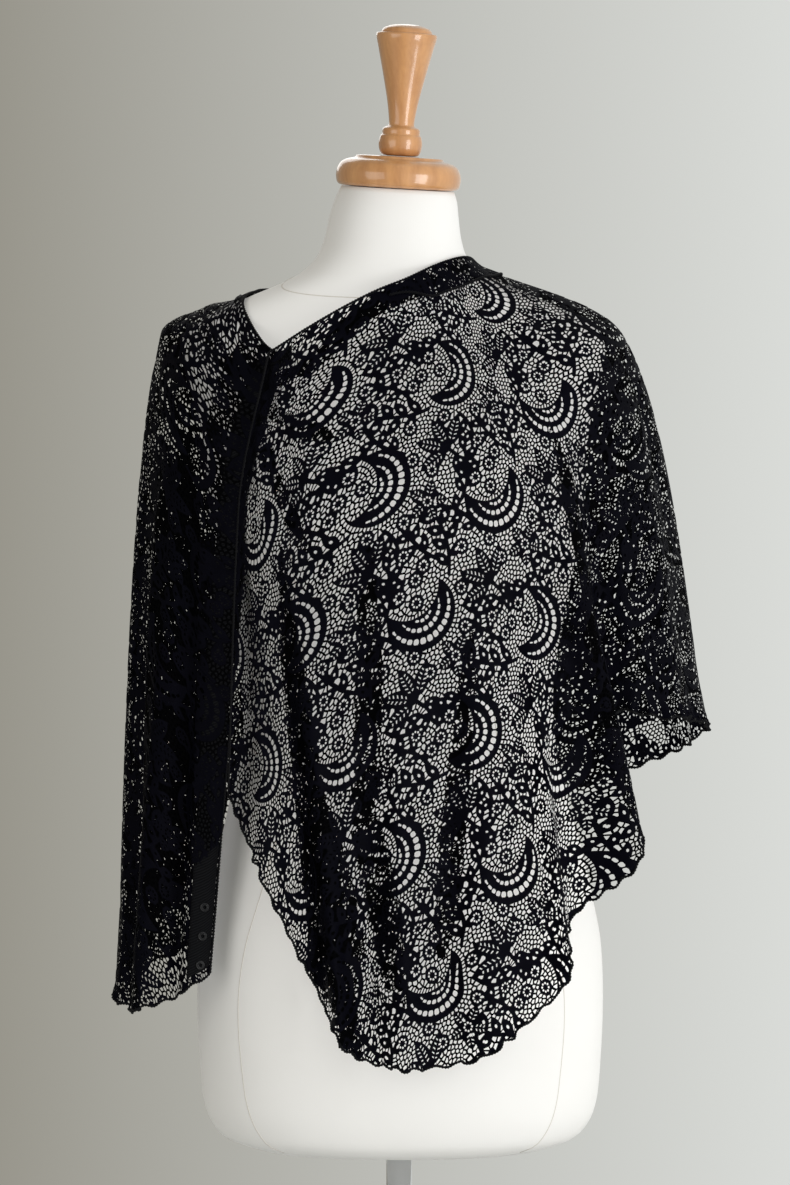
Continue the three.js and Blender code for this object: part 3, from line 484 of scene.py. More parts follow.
def crease_depths():
    """Depth of the finer creases, each a soft trough or ridge along a bowed line on the flat cloth."""
    section, drop = np.meshgrid(SECTIONS, DROPS, indexing="ij")
    places = to_flat(section, drop)
    depth = np.zeros_like(section)
    for first, last, bow, half, deep in CREASES:
        start, span, axis, side = flat_line(first, last)
        along = (places - start) @ axis / span
        held = np.clip(along, 0, 1)
        off = (places - start) @ side - bow * arch(held)
        beyond = (along - held) * span
        width = half * (CREASE["start"] + CREASE["growth"] * held)
        faded = np.clip(along * (1 - 2 * CREASE["ends"]) + CREASE["ends"], 0, 1)
        fade = np.sin(faded * math.pi) ** CREASE["fade"]
        depth += deep * fade * np.exp(-(off ** 2 + beyond ** 2) / width ** 2)
    return depth


def hem_waves():
    """Small uneven waves of the stretched, rolled hem, out of the cloth and along it, dying away above it."""
    round_hem = lengths_along(_plain[:, -1], 0)[:, None]
    total = np.interp(SECTIONS, CHART_SECTION, CHART_DOWN[:, -1])[:, None]
    from_hem = total - length_at(SECTIONS[:, None], DROPS[None, :])
    near = 1 - smoothstep(0, HEM_WAVE["reach"], from_hem)
    phase = 2 * math.pi * round_hem / HEM_WAVE["period"]
    phase = phase + sum(size * np.sin(round_hem / length) for size, length in HEM_WAVE["sways"])
    steady = HEM_WAVE["steady"]
    height = HEM_WAVE["height"] * (steady + (1 - steady) * np.sin(round_hem / HEM_WAVE["change"] + 1))
    return height * np.sin(phase) * near, HEM_WAVE["scallop"] * np.cos(HEM_WAVE["pace"] * phase + 1) * near


_out, _down = hem_waves()
_downward = np.gradient(_plain, axis=1)
_downward /= np.linalg.norm(_downward, axis=-1, keepdims=True)
_creased = _plain + outward_of(_plain) * (crease_depths() + _out)[..., None] + _downward * _down[..., None]
POINTS = push_clear(_creased, REST_GAP + ADDED_GAP["creased"])
OUTWARD = outward_of(POINTS)


def on_lace(section, drop, height=0.0):
    """Points on the drape at sections and drops, lifted outwards by a height."""
    section, drop = np.broadcast_arrays(np.asarray(section, float), np.asarray(drop, float))
    i, a = split(section / SECTION_STEP, len(SECTIONS) - 1)
    j, b = split(drop * DROP_ROWS, DROP_ROWS)
    a, b = a[..., None], b[..., None]

    def mix(grid):
        near = grid[i, j] * (1 - b) + grid[i, j + 1] * b
        far = grid[i + 1, j] * (1 - b) + grid[i + 1, j + 1] * b
        return near * (1 - a) + far * a

    return mix(POINTS) + mix(OUTWARD) * np.asarray(height)[..., None]


# Meshes

def make_object(name, points, faces, material):
    """A smooth mesh object from points in millimetres."""
    mesh = bpy.data.meshes.new(name)
    mesh.from_pydata((np.asarray(points) * MM).tolist(), [], [list(map(int, f)) for f in faces])
    mesh.polygons.foreach_set("use_smooth", [True] * len(mesh.polygons))
    mesh.materials.append(material)
    mesh.update()
    obj = bpy.data.objects.new(name, mesh)
    bpy.context.scene.collection.objects.link(obj)
    return obj


def make_piece(name, points, faces, material, slot, *nodes):
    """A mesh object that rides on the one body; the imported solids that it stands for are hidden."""
    piece = make_object(name, points, faces, material)
    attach(piece, "root")
    if nodes:
        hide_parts(*nodes)
    return piece


def add_layer(piece, name, kind, key, values):
    """Keeps a value for each point of a piece, for its material."""
    layer = piece.data.attributes.new(name, kind, "POINT")
    layer.data.foreach_set(key, values.astype(np.float32).ravel())


def join(parts):
    """Joins (points, faces) pairs into one pair."""
    points, faces, start = [], [], 0
    for part_points, part_faces in parts:
        points.append(np.asarray(part_points))
        faces.extend([tuple(int(k) + start for k in face) for face in part_faces])
        start += len(part_points)
    return np.concatenate(points), faces


def grid_faces(rows, columns, wrap=False, closed=False):
    """Faces of a grid of points, whose columns may wrap round and whose rows may close up."""
    faces = []
    for r in range(rows if closed else rows - 1):
        below = (r + 1) % rows
        for c in range(columns if wrap else columns - 1):
            n = (c + 1) % columns
            faces.append((r * columns + c, r * columns + n, below * columns + n, below * columns + c))
    return faces


def tube(path, radius, sides, closed=False):
    """A round cord along a path; radius is one number or one for each point."""
    path = np.asarray(path, float)
    ahead = np.roll(path, -1, 0) - np.roll(path, 1, 0)
    if not closed:
        ahead[0], ahead[-1] = path[1] - path[0], path[-1] - path[-2]
    ahead /= np.linalg.norm(ahead, axis=1, keepdims=True)
    side = np.zeros_like(path)
    start = np.array((0.0, 0.0, 1.0)) if abs(ahead[0, 2]) < 0.9 else np.array((1.0, 0.0, 0.0))
    for k, direction in enumerate(ahead):
        start = start - direction * (start @ direction)
        start = start / np.linalg.norm(start)
        side[k] = start
    up = np.cross(ahead, side)
    turns = round_turn(sides)[:, None]
    ring = np.broadcast_to(np.asarray(radius, float), (len(path),))[:, None, None]
    points = path[:, None] + ring * (side[:, None] * np.cos(turns) + up[:, None] * np.sin(turns))
    faces = grid_faces(len(path), sides, wrap=True, closed=closed)
    if not closed:
        faces += [tuple(range(sides))[::-1], tuple((len(path) - 1) * sides + c for c in range(sides))]
    return points.reshape(-1, 3), faces


def slab(low, high):
    """A closed shell between two grids of points that face each other."""
    rows, columns = low.shape[:2]
    size = rows * columns
    points = np.concatenate([high.reshape(-1, 3), low.reshape(-1, 3)])
    faces = grid_faces(rows, columns)
    faces = [f[::-1] for f in faces] + [tuple(k + size for k in f) for f in faces]
    rim = [c for c in range(columns - 1)]
    rim += [r * columns + columns - 1 for r in range(rows - 1)]
    rim += [(rows - 1) * columns + c for c in range(columns - 1, 0, -1)]
    rim += [r * columns for r in range(rows - 1, 0, -1)]
    for a, b in zip(rim, rim[1:] + rim[:1]):
        faces.append((a, b, b + size, a + size))
    return points, faces


def rounded(outline, passes=2):
    """An outline with its corners cut back in steps, its two ends kept."""
    points = [np.array(p, float) for p in outline]
    for _ in range(passes):
        cut = [points[0]]
        for a, b in zip(points, points[1:]):
            cut += [a * (1 - CORNER_CUT) + b * CORNER_CUT, a * CORNER_CUT + b * (1 - CORNER_CUT)]
        points = cut + [points[-1]]
    return points


def lathe(outline, sides, closed=False):
    """A turned body about +Z from radius and height pairs."""
    turns = round_turn(sides)
    points = np.array([[(r * math.cos(t), r * math.sin(t), h) for t in turns] for r, h in outline])
    return points.reshape(-1, 3), grid_faces(len(outline), sides, wrap=True, closed=closed)


# One repeat of the lace

def ring_of(x, y, radius, count, turn=0.0, squash=1.0):
    """Corners of an even polygon, or of one flattened along its second axis."""
    turns = [turn + 2 * math.pi * k / count for k in range(count)]
    return [(x + radius * math.cos(t), y + radius * squash * math.sin(t)) for t in turns]


def stepped(x, y, bearing, distance):
    """A place at a bearing and a distance from another."""
    return x + distance * math.sin(bearing), y + distance * math.cos(bearing)


def crescent_corner(angle, radius):
    return stepped(*CRESCENT["at"], angle + CRESCENT["tilt"], radius)


def thinned(angle, far):
    """From 1 in the middle of a crescent to 0 at an angle either side."""
    return math.cos(min(abs(angle) / far, 1) * math.pi / 2)


def crescent_shapes():
    """The crescent's body and the gaps of its three ladders."""
    reach, low, steps = (CRESCENT[key] for key in ("reach", "inner", "steps"))
    tip, widest, _, _, far = LADDERS[0]
    angles = [reach * (2 * k / steps - 1) for k in range(steps + 1)]
    outer = [tip + widest * thinned(t, far) + CRESCENT["band"] * thinned(t, reach) ** CRESCENT["blunt"]
             for t in angles]
    inner = [low + (tip - low) * (abs(t) / reach) ** CRESCENT["hollow"] for t in angles]
    body = [crescent_corner(t, r) for t, r in zip(angles, outer)]
    body += [crescent_corner(t, r) for t, r in zip(angles[-2:0:-1], inner[-2:0:-1])]
    gaps = []
    for radius, width, step, bar, far in LADDERS:
        half = step / 2 - bar / (2 * radius)
        count = int(far / step)
        for k in range(-count, count):
            middle = (k + 0.5) * step
            deep = width * thinned(middle, far)
            if deep > NET["least"]:
                gaps.append([crescent_corner(middle + half * u, radius + deep * v) for u, v in GAP_CORNERS])
    return [body], gaps


def rosette_shapes(x, y):
    """A scalloped disc with a ring of holes round a dot."""
    count = ROSETTE["holes"]
    turns = round_turn(2 * count)
    rim = [(x + r * math.cos(t), y + r * math.sin(t))
           for t, r in zip(turns, ROSETTE["radius"] + ROSETTE["scallop"] * np.cos(count * turns))]
    places = ring_of(x, y, ROSETTE["ring"], count)
    return [rim], [ring_of(*place, ROSETTE["hole"], ROSETTE["corners"]) for place in places]


def leaf_shapes(x, y, bearing, length, width, slits=0):
    """A pointed leaf with pairs of slits either side of its rib, or else one hole."""
    def place(along, side):
        return (x + along * math.sin(bearing) + side * math.cos(bearing),
                y + along * math.cos(bearing) - side * math.sin(bearing))

    shares = [k / LEAF["steps"] for k in range(1, LEAF["steps"])]
    halves = [0.5 * width * math.sin(math.pi * t ** LEAF["forward"]) ** LEAF["full"] for t in shares]
    body = [place(0, 0)] + [place(length * t, half) for t, half in zip(shares, halves)] + [place(length, 0)]
    body += [place(length * t, -half) for t, half in zip(shares[::-1], halves[::-1])]
    if not slits:
        middle, size = LEAF_HOLE["at"] * length, LEAF_HOLE["size"] * length
        corners = ring_of(0, 0, size, LEAF_HOLE["corners"], 0, LEAF_HOLE["squash"])
        return [body], [[place(middle + along, side) for along, side in corners]]
    pitch = LEAF_SLIT["span"] * length / slits
    gaps = []
    for k in range(slits):
        middle = LEAF_SLIT["from"] * length + (k + 0.5) * pitch
        reach = np.interp(middle / length, shares, halves)
        for hand in (-1, 1):
            gap = []
            for end, opening in SLIT_CORNERS:
                share = LEAF_SLIT[end]
                along = middle + LEAF_SLIT["lean"] * share * reach + opening * LEAF_SLIT["open"] * pitch
                gap.append(place(along, hand * share * reach))
            gaps.append(gap)
    return [body], gaps


def merged(groups):
    """Joins pairs of bodies and gaps into one pair."""
    return [p for bodies, _ in groups for p in bodies], [p for _, gaps in groups for p in gaps]


def flower_shapes(x, y, petals, length, width, turn):
    """Petals with slits round a middle with a ring of holes."""
    groups = [rosette_shapes(x, y)]
    for k in range(petals):
        bearing = turn + 2 * math.pi * k / petals
        foot = stepped(x, y, bearing, PETAL["foot"] * length)
        groups.append(leaf_shapes(*foot, bearing, length, width, PETAL["slits"]))
    return merged(groups)


def fan_shapes(x, y, bearing, count, angle, length, width):
    """Pierced leaves spread out from one foot."""
    groups = []
    for k in range(count):
        turn = bearing + (k - (count - 1) / 2) * angle
        foot = stepped(x, y, turn, FAN_LEAF["foot"] * length)
        groups += [stem_shapes(x, y, *foot, 0), leaf_shapes(*foot, turn, length, width, FAN_LEAF["slits"])]
    return merged(groups)


def spray_shapes(x0, y0, x1, y1, bow, count, length, width):
    """A bowed stem with leaves on alternate sides and one at its end."""
    groups = [stem_shapes(x0, y0, x1, y1, bow)]
    for k in range(count):
        share = (k + 1) / count
        before, foot = (bowed(x0, y0, x1, y1, bow, t) for t in (share - LEAF["bearing_step"], share))
        bearing = math.atan2(foot[0] - before[0], foot[1] - before[1])
        bearing += LEAF["angle"] * (0 if k == count - 1 else (-1) ** k)
        stalk = stepped(*foot, bearing, LEAF["stalk"])
        groups += [stem_shapes(*foot, *stalk, 0), leaf_shapes(*stalk, bearing, length, width)]
    return merged(groups)


def bowed(x0, y0, x1, y1, bow, t):
    """A point at a share of a line that bows out to its side."""
    lift = arch(t) * bow / math.hypot(x1 - x0, y1 - y0)
    return (x0 + (x1 - x0) * t - (y1 - y0) * lift, y0 + (y1 - y0) * t + (x1 - x0) * lift)


def stem_shapes(x0, y0, x1, y1, bow):
    steps = STEM["steps"] if bow else 1
    line = np.array([bowed(x0, y0, x1, y1, bow, k / steps) for k in range(steps + 1)])
    ahead = np.gradient(line, axis=0)
    normal = np.stack([-ahead[:, 1], ahead[:, 0]], axis=1) / np.linalg.norm(ahead, axis=1)[:, None]
    edge = normal * STEM["width"] / 2
    return [[tuple(p) for p in line + edge] + [tuple(p) for p in (line - edge)[::-1]]], []


def anticlockwise(polygon):
    return polygon if polygon_area(polygon) > 0 else polygon[::-1]


def wrapped(polygons, margin=0.0):
    """Polygons and those of their neighbours' copies that reach into the repeat, or within a margin of it."""
    kept = []
    for polygon in polygons:
        points = np.array(polygon)
        for i in (-1, 0, 1):
            for j in (-1, 0, 1):
                moved = points + REPEAT * (i, j)
                if (moved.max(0) > -margin).all() and (moved.min(0) < REPEAT + margin).all():
                    kept.append(anticlockwise([tuple(p) for p in moved]))
    return kept


def motif_shapes():
    """Solid shapes and holes of the pattern's motifs, both halves of one repeat."""
    kinds = ((rosette_shapes, ROSETTES), (flower_shapes, FLOWERS), (fan_shapes, FANS), (spray_shapes, SPRAYS))
    groups = [crescent_shapes()] + [shapes(*row) for shapes, rows in kinds for row in rows]
    return [polygons + [[(MIRROR_SUM - x, y + REPEAT[1] / 2) for x, y in p] for p in polygons]
            for polygons in merged(groups)]


def nearest_edges(points, polygon):
    """The nearest place on a polygon's edge to each of some points."""
    starts = np.array(polygon)
    spans = np.roll(starts, -1, 0) - starts
    off = points[:, None] - starts
    along = np.clip((off * spans).sum(-1) / np.maximum((spans ** 2).sum(-1), TINY ** 2), 0, 1)
    edges = starts + along[..., None] * spans
    best = np.linalg.norm(points[:, None] - edges, axis=-1).argmin(axis=1)
    return edges[np.arange(len(points)), best]


def clear_of(points, polygons):
    """Distance of points from the nearest polygon, below zero inside one, and the way out of it."""
    distance = np.full(len(points), np.inf)
    outward = np.zeros_like(points)
    for polygon in polygons:
        off = points - nearest_edges(points, polygon)
        here = np.linalg.norm(off, axis=1) * np.where(inside_polygon(points, polygon), -1, 1)
        nearer = here < distance
        distance[nearer] = here[nearer]
        outward[nearer] = (off / np.where(here == 0, 1, here)[:, None])[nearer]
    return distance, outward


def between(points, others, size):
    """Steps from others to points, the short way on an endless repeat of a size."""
    off = points - others
    return off - size * np.round(off / size)


def scaled(polygons, factor):
    return [[(x * factor[0], y * factor[1]) for x, y in polygon] for polygon in polygons]


def lining_sites(solids, near, size):
    """Even places along the outsides of the motifs, for the holes that line them."""
    probe = 0.2
    spots = []
    for solid in solids:
        outline = np.array(anticlockwise([tuple(p) for p in solid]))
        loop = np.concatenate([outline, outline[:1]])
        along = lengths_along(loop, 0)
        count = max(round(along[-1] / NET["lining"]), 3)
        places = np.linspace(0, along[-1], count, endpoint=False)
        here, ahead = (
            np.stack([np.interp((places + d) % along[-1], along, side) for side in loop.T], axis=1)
            for d in (-probe, probe))
        step = (ahead - here) / np.maximum(np.linalg.norm(ahead - here, axis=1, keepdims=True), TINY)
        spots.append((here + ahead) / 2 + NET["off"] * np.stack([step[:, 1], -step[:, 0]], axis=1))
    spots = np.concatenate(spots) % size
    spots = spots[clear_of(spots, near)[0] > NET_SHARE["lining_off"] * NET["off"]]
    kept = spots[:1]
    for spot in spots[1:]:
        apart = np.linalg.norm(between(spot, kept, size), axis=1).min()
        if apart > NET_SHARE["lining"] * NET["lining"]:
            kept = np.concatenate([kept, [spot]])
    return kept


def net_sites(lining, near, size):
    """Places of the net's holes: even rows at first, then spread into the room that the motifs leave."""
    pitch, off_motif = NET["pitch"], NET["off"]
    counts = np.round(size / (pitch, pitch * math.sqrt(0.75)) / 2).astype(int) * 2
    i, j = (grid.ravel() for grid in np.meshgrid(*(np.arange(n) for n in counts)))
    sites = np.stack([i + 0.5 * (j % 2), j], axis=1) * size / counts
    sites = sites[clear_of(sites, near)[0] > NET_SHARE["net_off"] * off_motif]
    apart = [np.linalg.norm(between(site, lining, size), axis=1).min() for site in sites]
    sites = sites[np.array(apart) > NET_SHARE["net"] * pitch]
    for _ in range(NET["passes"]):
        everything = np.concatenate([sites, lining])
        off = between(sites[:, None], everything[None], size)
        distance = np.linalg.norm(off, axis=-1)
        push = np.where((distance > TINY) & (distance < pitch), 1 - distance / pitch, 0)
        spread = (off * (push / np.maximum(distance, TINY))[..., None]).sum(axis=1)
        sites = sites + NET_SHARE["step"] * pitch * spread
        room, outward = clear_of(sites % size, near)
        sites = (sites + outward * np.maximum(off_motif - room, 0)[:, None]) % size
    return sites


def cut_back(polygon, normal, limit):
    """The part of a polygon on the near side of a line."""
    kept = []
    for a, b in zip(polygon, polygon[1:] + polygon[:1]):
        over_a, over_b = a @ normal - limit, b @ normal - limit
        if over_a <= 0:
            kept.append(a)
        if over_a * over_b < 0:
            kept.append(a + (b - a) * over_a / (over_a - over_b))
    return kept


def without_short_edges(polygon, shortest):
    kept = [polygon[0]]
    for point in polygon[1:]:
        if np.linalg.norm(point - kept[-1]) > shortest:
            kept.append(point)
    return kept[:-1] if np.linalg.norm(kept[-1] - kept[0]) < shortest else kept


def net_holes(solids):
    """Holes of the ground: the room round each site, with a thread left between it and all that is near."""
    squeeze = np.array((1, NET["squeeze"]))
    size = REPEAT * squeeze
    near = scaled(wrapped(solids, 2 * NET["pitch"]), squeeze)
    lining = lining_sites(scaled(solids, squeeze), near, size)
    sites = np.concatenate([net_sites(lining, near, size), lining])
    reach = NET_SHARE["hole"] * NET["pitch"]
    edges = np.stack([nearest_edges(sites, polygon) for polygon in near], axis=1)
    holes = []
    for site, borders in zip(sites, edges):
        hole = [np.array(p) for p in ring_of(0, 0, reach, HOLE_CORNERS, math.pi / HOLE_CORNERS)]
        steps = between(sites, site, size)
        for step, length in zip(steps, np.linalg.norm(steps, axis=1)):
            if TINY < length < 2 * reach:
                hole = cut_back(hole, step / length, (length - NET["thread"]) / 2)
        for step in borders - site:
            length = np.linalg.norm(step)
            if TINY < length < reach:
                hole = cut_back(hole, step / length, length - NET["thread"] / 2)
        hole = without_short_edges(hole, NET["short"]) if hole else hole
        if len(hole) > 2 and polygon_area(hole) > NET["least"]:
            holes.append([tuple((site + p) / squeeze) for p in hole])
    return holes


def polygon_area(polygon):
    x, y = np.array(polygon).T
    return 0.5 * np.sum(x * np.roll(y, -1) - np.roll(x, -1) * y)


def inside_polygon(points, polygon):
    x, y = np.array(points).T
    inside = np.zeros(len(x), bool)
    for (ax, ay), (bx, by) in zip(polygon, polygon[1:] + polygon[:1]):
        crosses = (ay > y) != (by > y)
        inside ^= crosses & (x < (bx - ax) * (y - ay) / np.where(by == ay, 1, by - ay) + ax)
    return inside


def lace_repeat():
    """One repeat with its motifs marked, and the same holes without the motifs' outlines."""
    solids, gaps = motif_shapes()
    net = wrapped(net_holes(solids))
    solids, gaps = wrapped(solids), wrapped(gaps)
    return pierced_repeat(solids, gaps + net), pierced_repeat([], gaps + net)


# Settings of the triangulation: only triangles inside the outlines, and how near two points are one.
INSIDE_ONLY = 1
SAME_POINT = 1e-3


def pierced_repeat(solids, holes):
    """Flat points and triangles of one repeat, and which of its points belong to a motif."""
    rim = [(0, 0), (REPEAT[0], 0), tuple(REPEAT), (0, REPEAT[1])]
    points, faces = [], []
    for shape in [rim] + solids + holes:
        faces.append(list(range(len(points), len(points) + len(shape))))
        points += [Vector(p) for p in shape]
    out_points, _, triangles, _, _, owners = delaunay_2d_cdt(points, [], faces, INSIDE_ONLY, SAME_POINT)
    first_gap = 1 + len(solids)
    kept, motif_triangle = [], []
    for triangle, owner in zip(triangles, owners):
        if 0 in owner and not any(k >= first_gap for k in owner):
            kept.append(triangle)
            motif_triangle.append(any(0 < k < first_gap for k in owner))
    flat = np.array([tuple(p) for p in out_points])
    kept = np.array(kept)
    motif = np.zeros(len(flat), bool)
    motif[kept[np.array(motif_triangle)].ravel()] = True
    return flat, kept, motif


# The lace on the drape

# How near two points of neighbouring repeats are one, and the least area of a triangle.
WELD = 0.02
SLIVER = 1e-4
# A repeat is tried with one point in so many, against the cloth and a margin round it.
PROBE_SKIP = 20
CLOTH_MARGIN = {"turn": 0.1, "length": 35}


def lace_sheet(repeat, places, whole=False, shift=(0, 0)):
    """Every repeat that reaches a stretch of cloth: flat points, triangles and motif marks.

    places says where flat points lie and which are on the cloth. Triangles over its edge are kept
    unless only whole ones are wanted.
    """
    flat, triangles, motif = repeat
    deepest = NECK_RADIUS_FLAT + CHART_DOWN[:, -1].max()
    columns = math.ceil(deepest / REPEAT[0]) + 1
    rows = math.ceil(deepest / REPEAT[1]) + 1
    all_points, all_triangles, all_motif, start = [], [], [], 0
    for c in range(-columns, columns):
        for r in range(-rows, rows):
            points = flat + REPEAT * (c, r) + shift
            if not near_cloth(points[::PROBE_SKIP]):
                continue
            inside = places(points)[2][triangles]
            reached = triangles[inside.all(axis=1) if whole else inside.any(axis=1)]
            if len(reached):
                all_points.append(points)
                all_triangles.append(reached + start)
                all_motif.append(motif)
                start += len(points)
    points = np.concatenate(all_points)
    triangles = np.concatenate(all_triangles)
    motif = np.concatenate(all_motif)
    welded = np.round(points / WELD).astype(int)
    _, first, same = np.unique(welded, axis=0, return_index=True, return_inverse=True)
    same = same.reshape(-1)
    raised = np.zeros(len(first), bool)
    np.logical_or.at(raised, same, motif)
    return points[first], same[triangles], raised


def near_cloth(points):
    """Whether any of some flat places lies within a small margin of the cloth."""
    turn, length = flat_turn(points)
    near = np.ones(len(points), bool)
    for value, last, margin in ((turn, FULL_TURN, CLOTH_MARGIN["turn"]),
                                (length, CHART_DOWN[:, -1].max(), CLOTH_MARGIN["length"])):
        near &= (value > -margin) & (value < last + margin)
    return near.any()


def flat_turn(points):
    """Turn round the flat ring and length below the neckline, of flat places."""
    turn = np.arctan2(points[:, 0], points[:, 1]) + FULL_TURN / 2
    return turn, np.hypot(points[:, 0], points[:, 1]) - NECK_RADIUS_FLAT


def on_cloth(points):
    """Section, length below the neckline and whether the cloth reaches there."""
    turn, length = flat_turn(points)
    section = np.interp(turn, CHART_TURN, CHART_SECTION)
    total = length_at(section, 1)
    length = gathered(section, length)
    inside = (turn >= 0) & (turn <= FULL_TURN) & (length >= 0) & (length <= total)
    return section, np.clip(length, 0, total), inside


def gathered(section, length):
    """Length below the neckline once the spare cloth above it is drawn in at the closure."""
    from_end = np.minimum(section, END_SECTION - section)
    spare = GATHER["spare"] * (1 - smoothstep(0, GATHER["sections"], from_end))
    drawn = (length + spare) * GATHER["reach"] / (GATHER["reach"] + spare)
    return np.where(length < GATHER["reach"], drawn, length)


def on_neck_fold(points):
    """The same for the cloth above the neckline, which is turned down over the rest."""
    turn, length = flat_turn(points)
    section = np.interp(turn, CHART_TURN, CHART_SECTION)
    width = fold_width(section)
    within = (section > NECK_FOLD["from"]) & (section < NECK_FOLD["to"])
    return section, np.clip(-length, 0, width), within & (length <= 0) & (-length <= width)


def on_end_facing(points):
    """The same for the cloth past the lace's end, which is turned back over the tape."""
    turn, length = flat_turn(points)
    past = (turn - FULL_TURN) * (NECK_RADIUS_FLAT + length)
    section = np.interp(2 * FULL_TURN - turn, CHART_TURN, CHART_SECTION)
    share = np.clip(past / END_FACING["width"], 0, 1)
    lowest = END_FACING["outer_drop"] + (END_FACING["inner_drop"] - END_FACING["outer_drop"]) * share
    drop = drop_at(section, length)
    inside = (past >= 0) & (past <= END_FACING["width"]) & (length > 0) & (drop < lowest)
    return section, length, inside


def pleat_places(first, last, half_first, half_last):
    """The same for the under-layer of a pleat, with the share of the pleat's half width."""
    start, span, axis, side = flat_line(first, last)
    opening = PLEAT["quick"] if first[1] < PLEAT["close"] else PLEAT["slow"]
    to_hem = last[1] == 1

    def places(points):
        section, length, inside = on_cloth(points)
        along = (points - start) @ axis / span
        closing = 1 if to_hem else 1 - smoothstep(PLEAT["closing"], 1, along)
        narrowed = smoothstep(0, opening, along) * closing
        half = (half_first + (half_last - half_first) * np.clip(along, 0, 1)) * narrowed + TINY
        off = (points - start) @ side / half
        within = (np.abs(off) < 1) & (along > 0) & (along < (PLEAT["past_hem"] if to_hem else 1))
        return section, length, inside & within, off

    return places


def fold_width(section):
    """Width of the turned-over top edge, which narrows towards both of its ends."""
    first, last, ease = NECK_FOLD["from"], NECK_FOLD["to"], NECK_FOLD["taper"]
    full = smoothstep(first, first + ease, section) * (1 - smoothstep(last - ease, last, section))
    return NECK_FOLD["width"] * (NECK_FOLD["narrow"] + (1 - NECK_FOLD["narrow"]) * full)


def triangle_areas(points, triangles):
    a, b, c = (points[triangles[:, k]] for k in range(3))
    if points.shape[1] == 2:
        u, v = b - a, c - a
        return 0.5 * np.abs(u[:, 0] * v[:, 1] - u[:, 1] * v[:, 0])
    return 0.5 * np.linalg.norm(np.cross(b - a, c - a), axis=1)


def lace_piece(node, points, triangles, raised, flat, material):
    """One piece of lace from the shared sheet; returns it with the flat area of its threads."""
    used, compact = np.unique(triangles, return_inverse=True)
    faces = compact.reshape(-1, 3)
    faces = faces[triangle_areas(points[used], faces) > SLIVER]
    piece = make_piece("lace_" + node, points[used], faces, material, "lace", node)
    add_layer(piece, "motif", "FLOAT", "value", raised[used])
    piece.visible_shadow = False
    return piece, triangle_areas(flat[used], faces).sum() * MM * MM


def stretch_cut(first, last, area, solid_share):
    """Width and depth of the flat cut between two sections, in metres, pleats and holes counted in."""
    samples = 40
    depth = length_at(np.linspace(first, last, samples), 1).mean() * MM
    return area / (solid_share * depth), depth


def lace_layer(repeat, places, height):
    """A layer of lace at a height off the drape: flat points, triangles, motif marks, sections and points."""
    flat, triangles, raised = lace_sheet(repeat, places)
    section, length, _ = places(flat)
    points = on_lace(section, drop_at(section, length), height + np.where(raised, MOTIF_RAISE, 0.0))
    return flat, triangles, raised, section, points


def turned_over(layer):
    flat, triangles, *rest = layer
    return flat, triangles[:, ::-1], *rest


def lace_layers(repeat, plain):
    """The lace of the whole shawl, its pleats and its turned end, as one set of points and triangles."""
    layers = [lace_layer(repeat, on_cloth, 0.0)]
    for k, (first, last, half_first, half_last, depth, count) in enumerate(PLEATS):
        places = pleat_places(first, last, half_first, half_last)
        for layer in range(1, count + 1):
            shift = REPEAT * (PATTERN_SHIFT[0] * k, PATTERN_SHIFT[1] * layer)
            flat, triangles, raised = lace_sheet(plain, places, whole=True, shift=shift)
            section, length, _, off = places(flat)
            height = -PLEAT["gap"] - depth * layer / count * (1 - np.clip(off, -1, 1) ** 2)
            points = push_clear(on_lace(section, drop_at(section, length), height), REST_GAP / 2)
            layers.append((flat, triangles, raised, section, points))
    layers.append(turned_over(lace_layer(repeat, on_end_facing, END_FACING["height"])))
    starts = np.cumsum([0] + [len(layer[0]) for layer in layers[:-1]])
    triangles = np.concatenate([layer[1] + start for layer, start in zip(layers, starts)])
    flat, raised, section, points = (np.concatenate([layer[k] for layer in layers]) for k in (0, 2, 3, 4))
    return flat, triangles, raised, section, points


def add_lace(material):
    """The stretches of lace with their areas and cuts, and the neck fold with its area."""
    repeat, plain = lace_repeat()
    flat, triangles, raised, section, points = lace_layers(repeat, plain)
    solid_share = triangle_areas(*repeat[:2]).sum() / REPEAT.prod()
    middle = section[triangles].mean(axis=1)
    pieces = []
    for node, first, last in STRETCHES:
        mine = triangles[(middle >= first) & (middle < last)]
        piece, area = lace_piece(node, points, mine, raised, flat, material)
        pieces.append((piece, area, stretch_cut(first, last, area, solid_share)))
    flat, triangles, raised, _, points = turned_over(lace_layer(repeat, on_neck_fold, NECK_FOLD["height"]))
    return pieces, *lace_piece("neck_fold", points, triangles, raised, flat, material)


# Hems, tapes and snaps

def even_path(points, step):
    """The same path with points at even distances."""
    along = lengths_along(points, 0)
    count = max(int(along[-1] / step), 2)
    places = np.linspace(0, along[-1], count + 1)
    return np.stack([np.interp(places, along, points[:, k]) for k in range(3)], axis=1)


def rolled_edge(points, closed=False):
    """A rolled, overlocked edge: a cord whose wraps of thread stand proud."""
    path = even_path(points, ROLL["step"])
    if closed:
        path = path[:-1]
    wraps = ROLL["radius"] + ROLL["wrap"] * np.where(np.arange(len(path)) % 2, 1, -1)
    return tube(path, wraps, SIDES["roll"], closed)


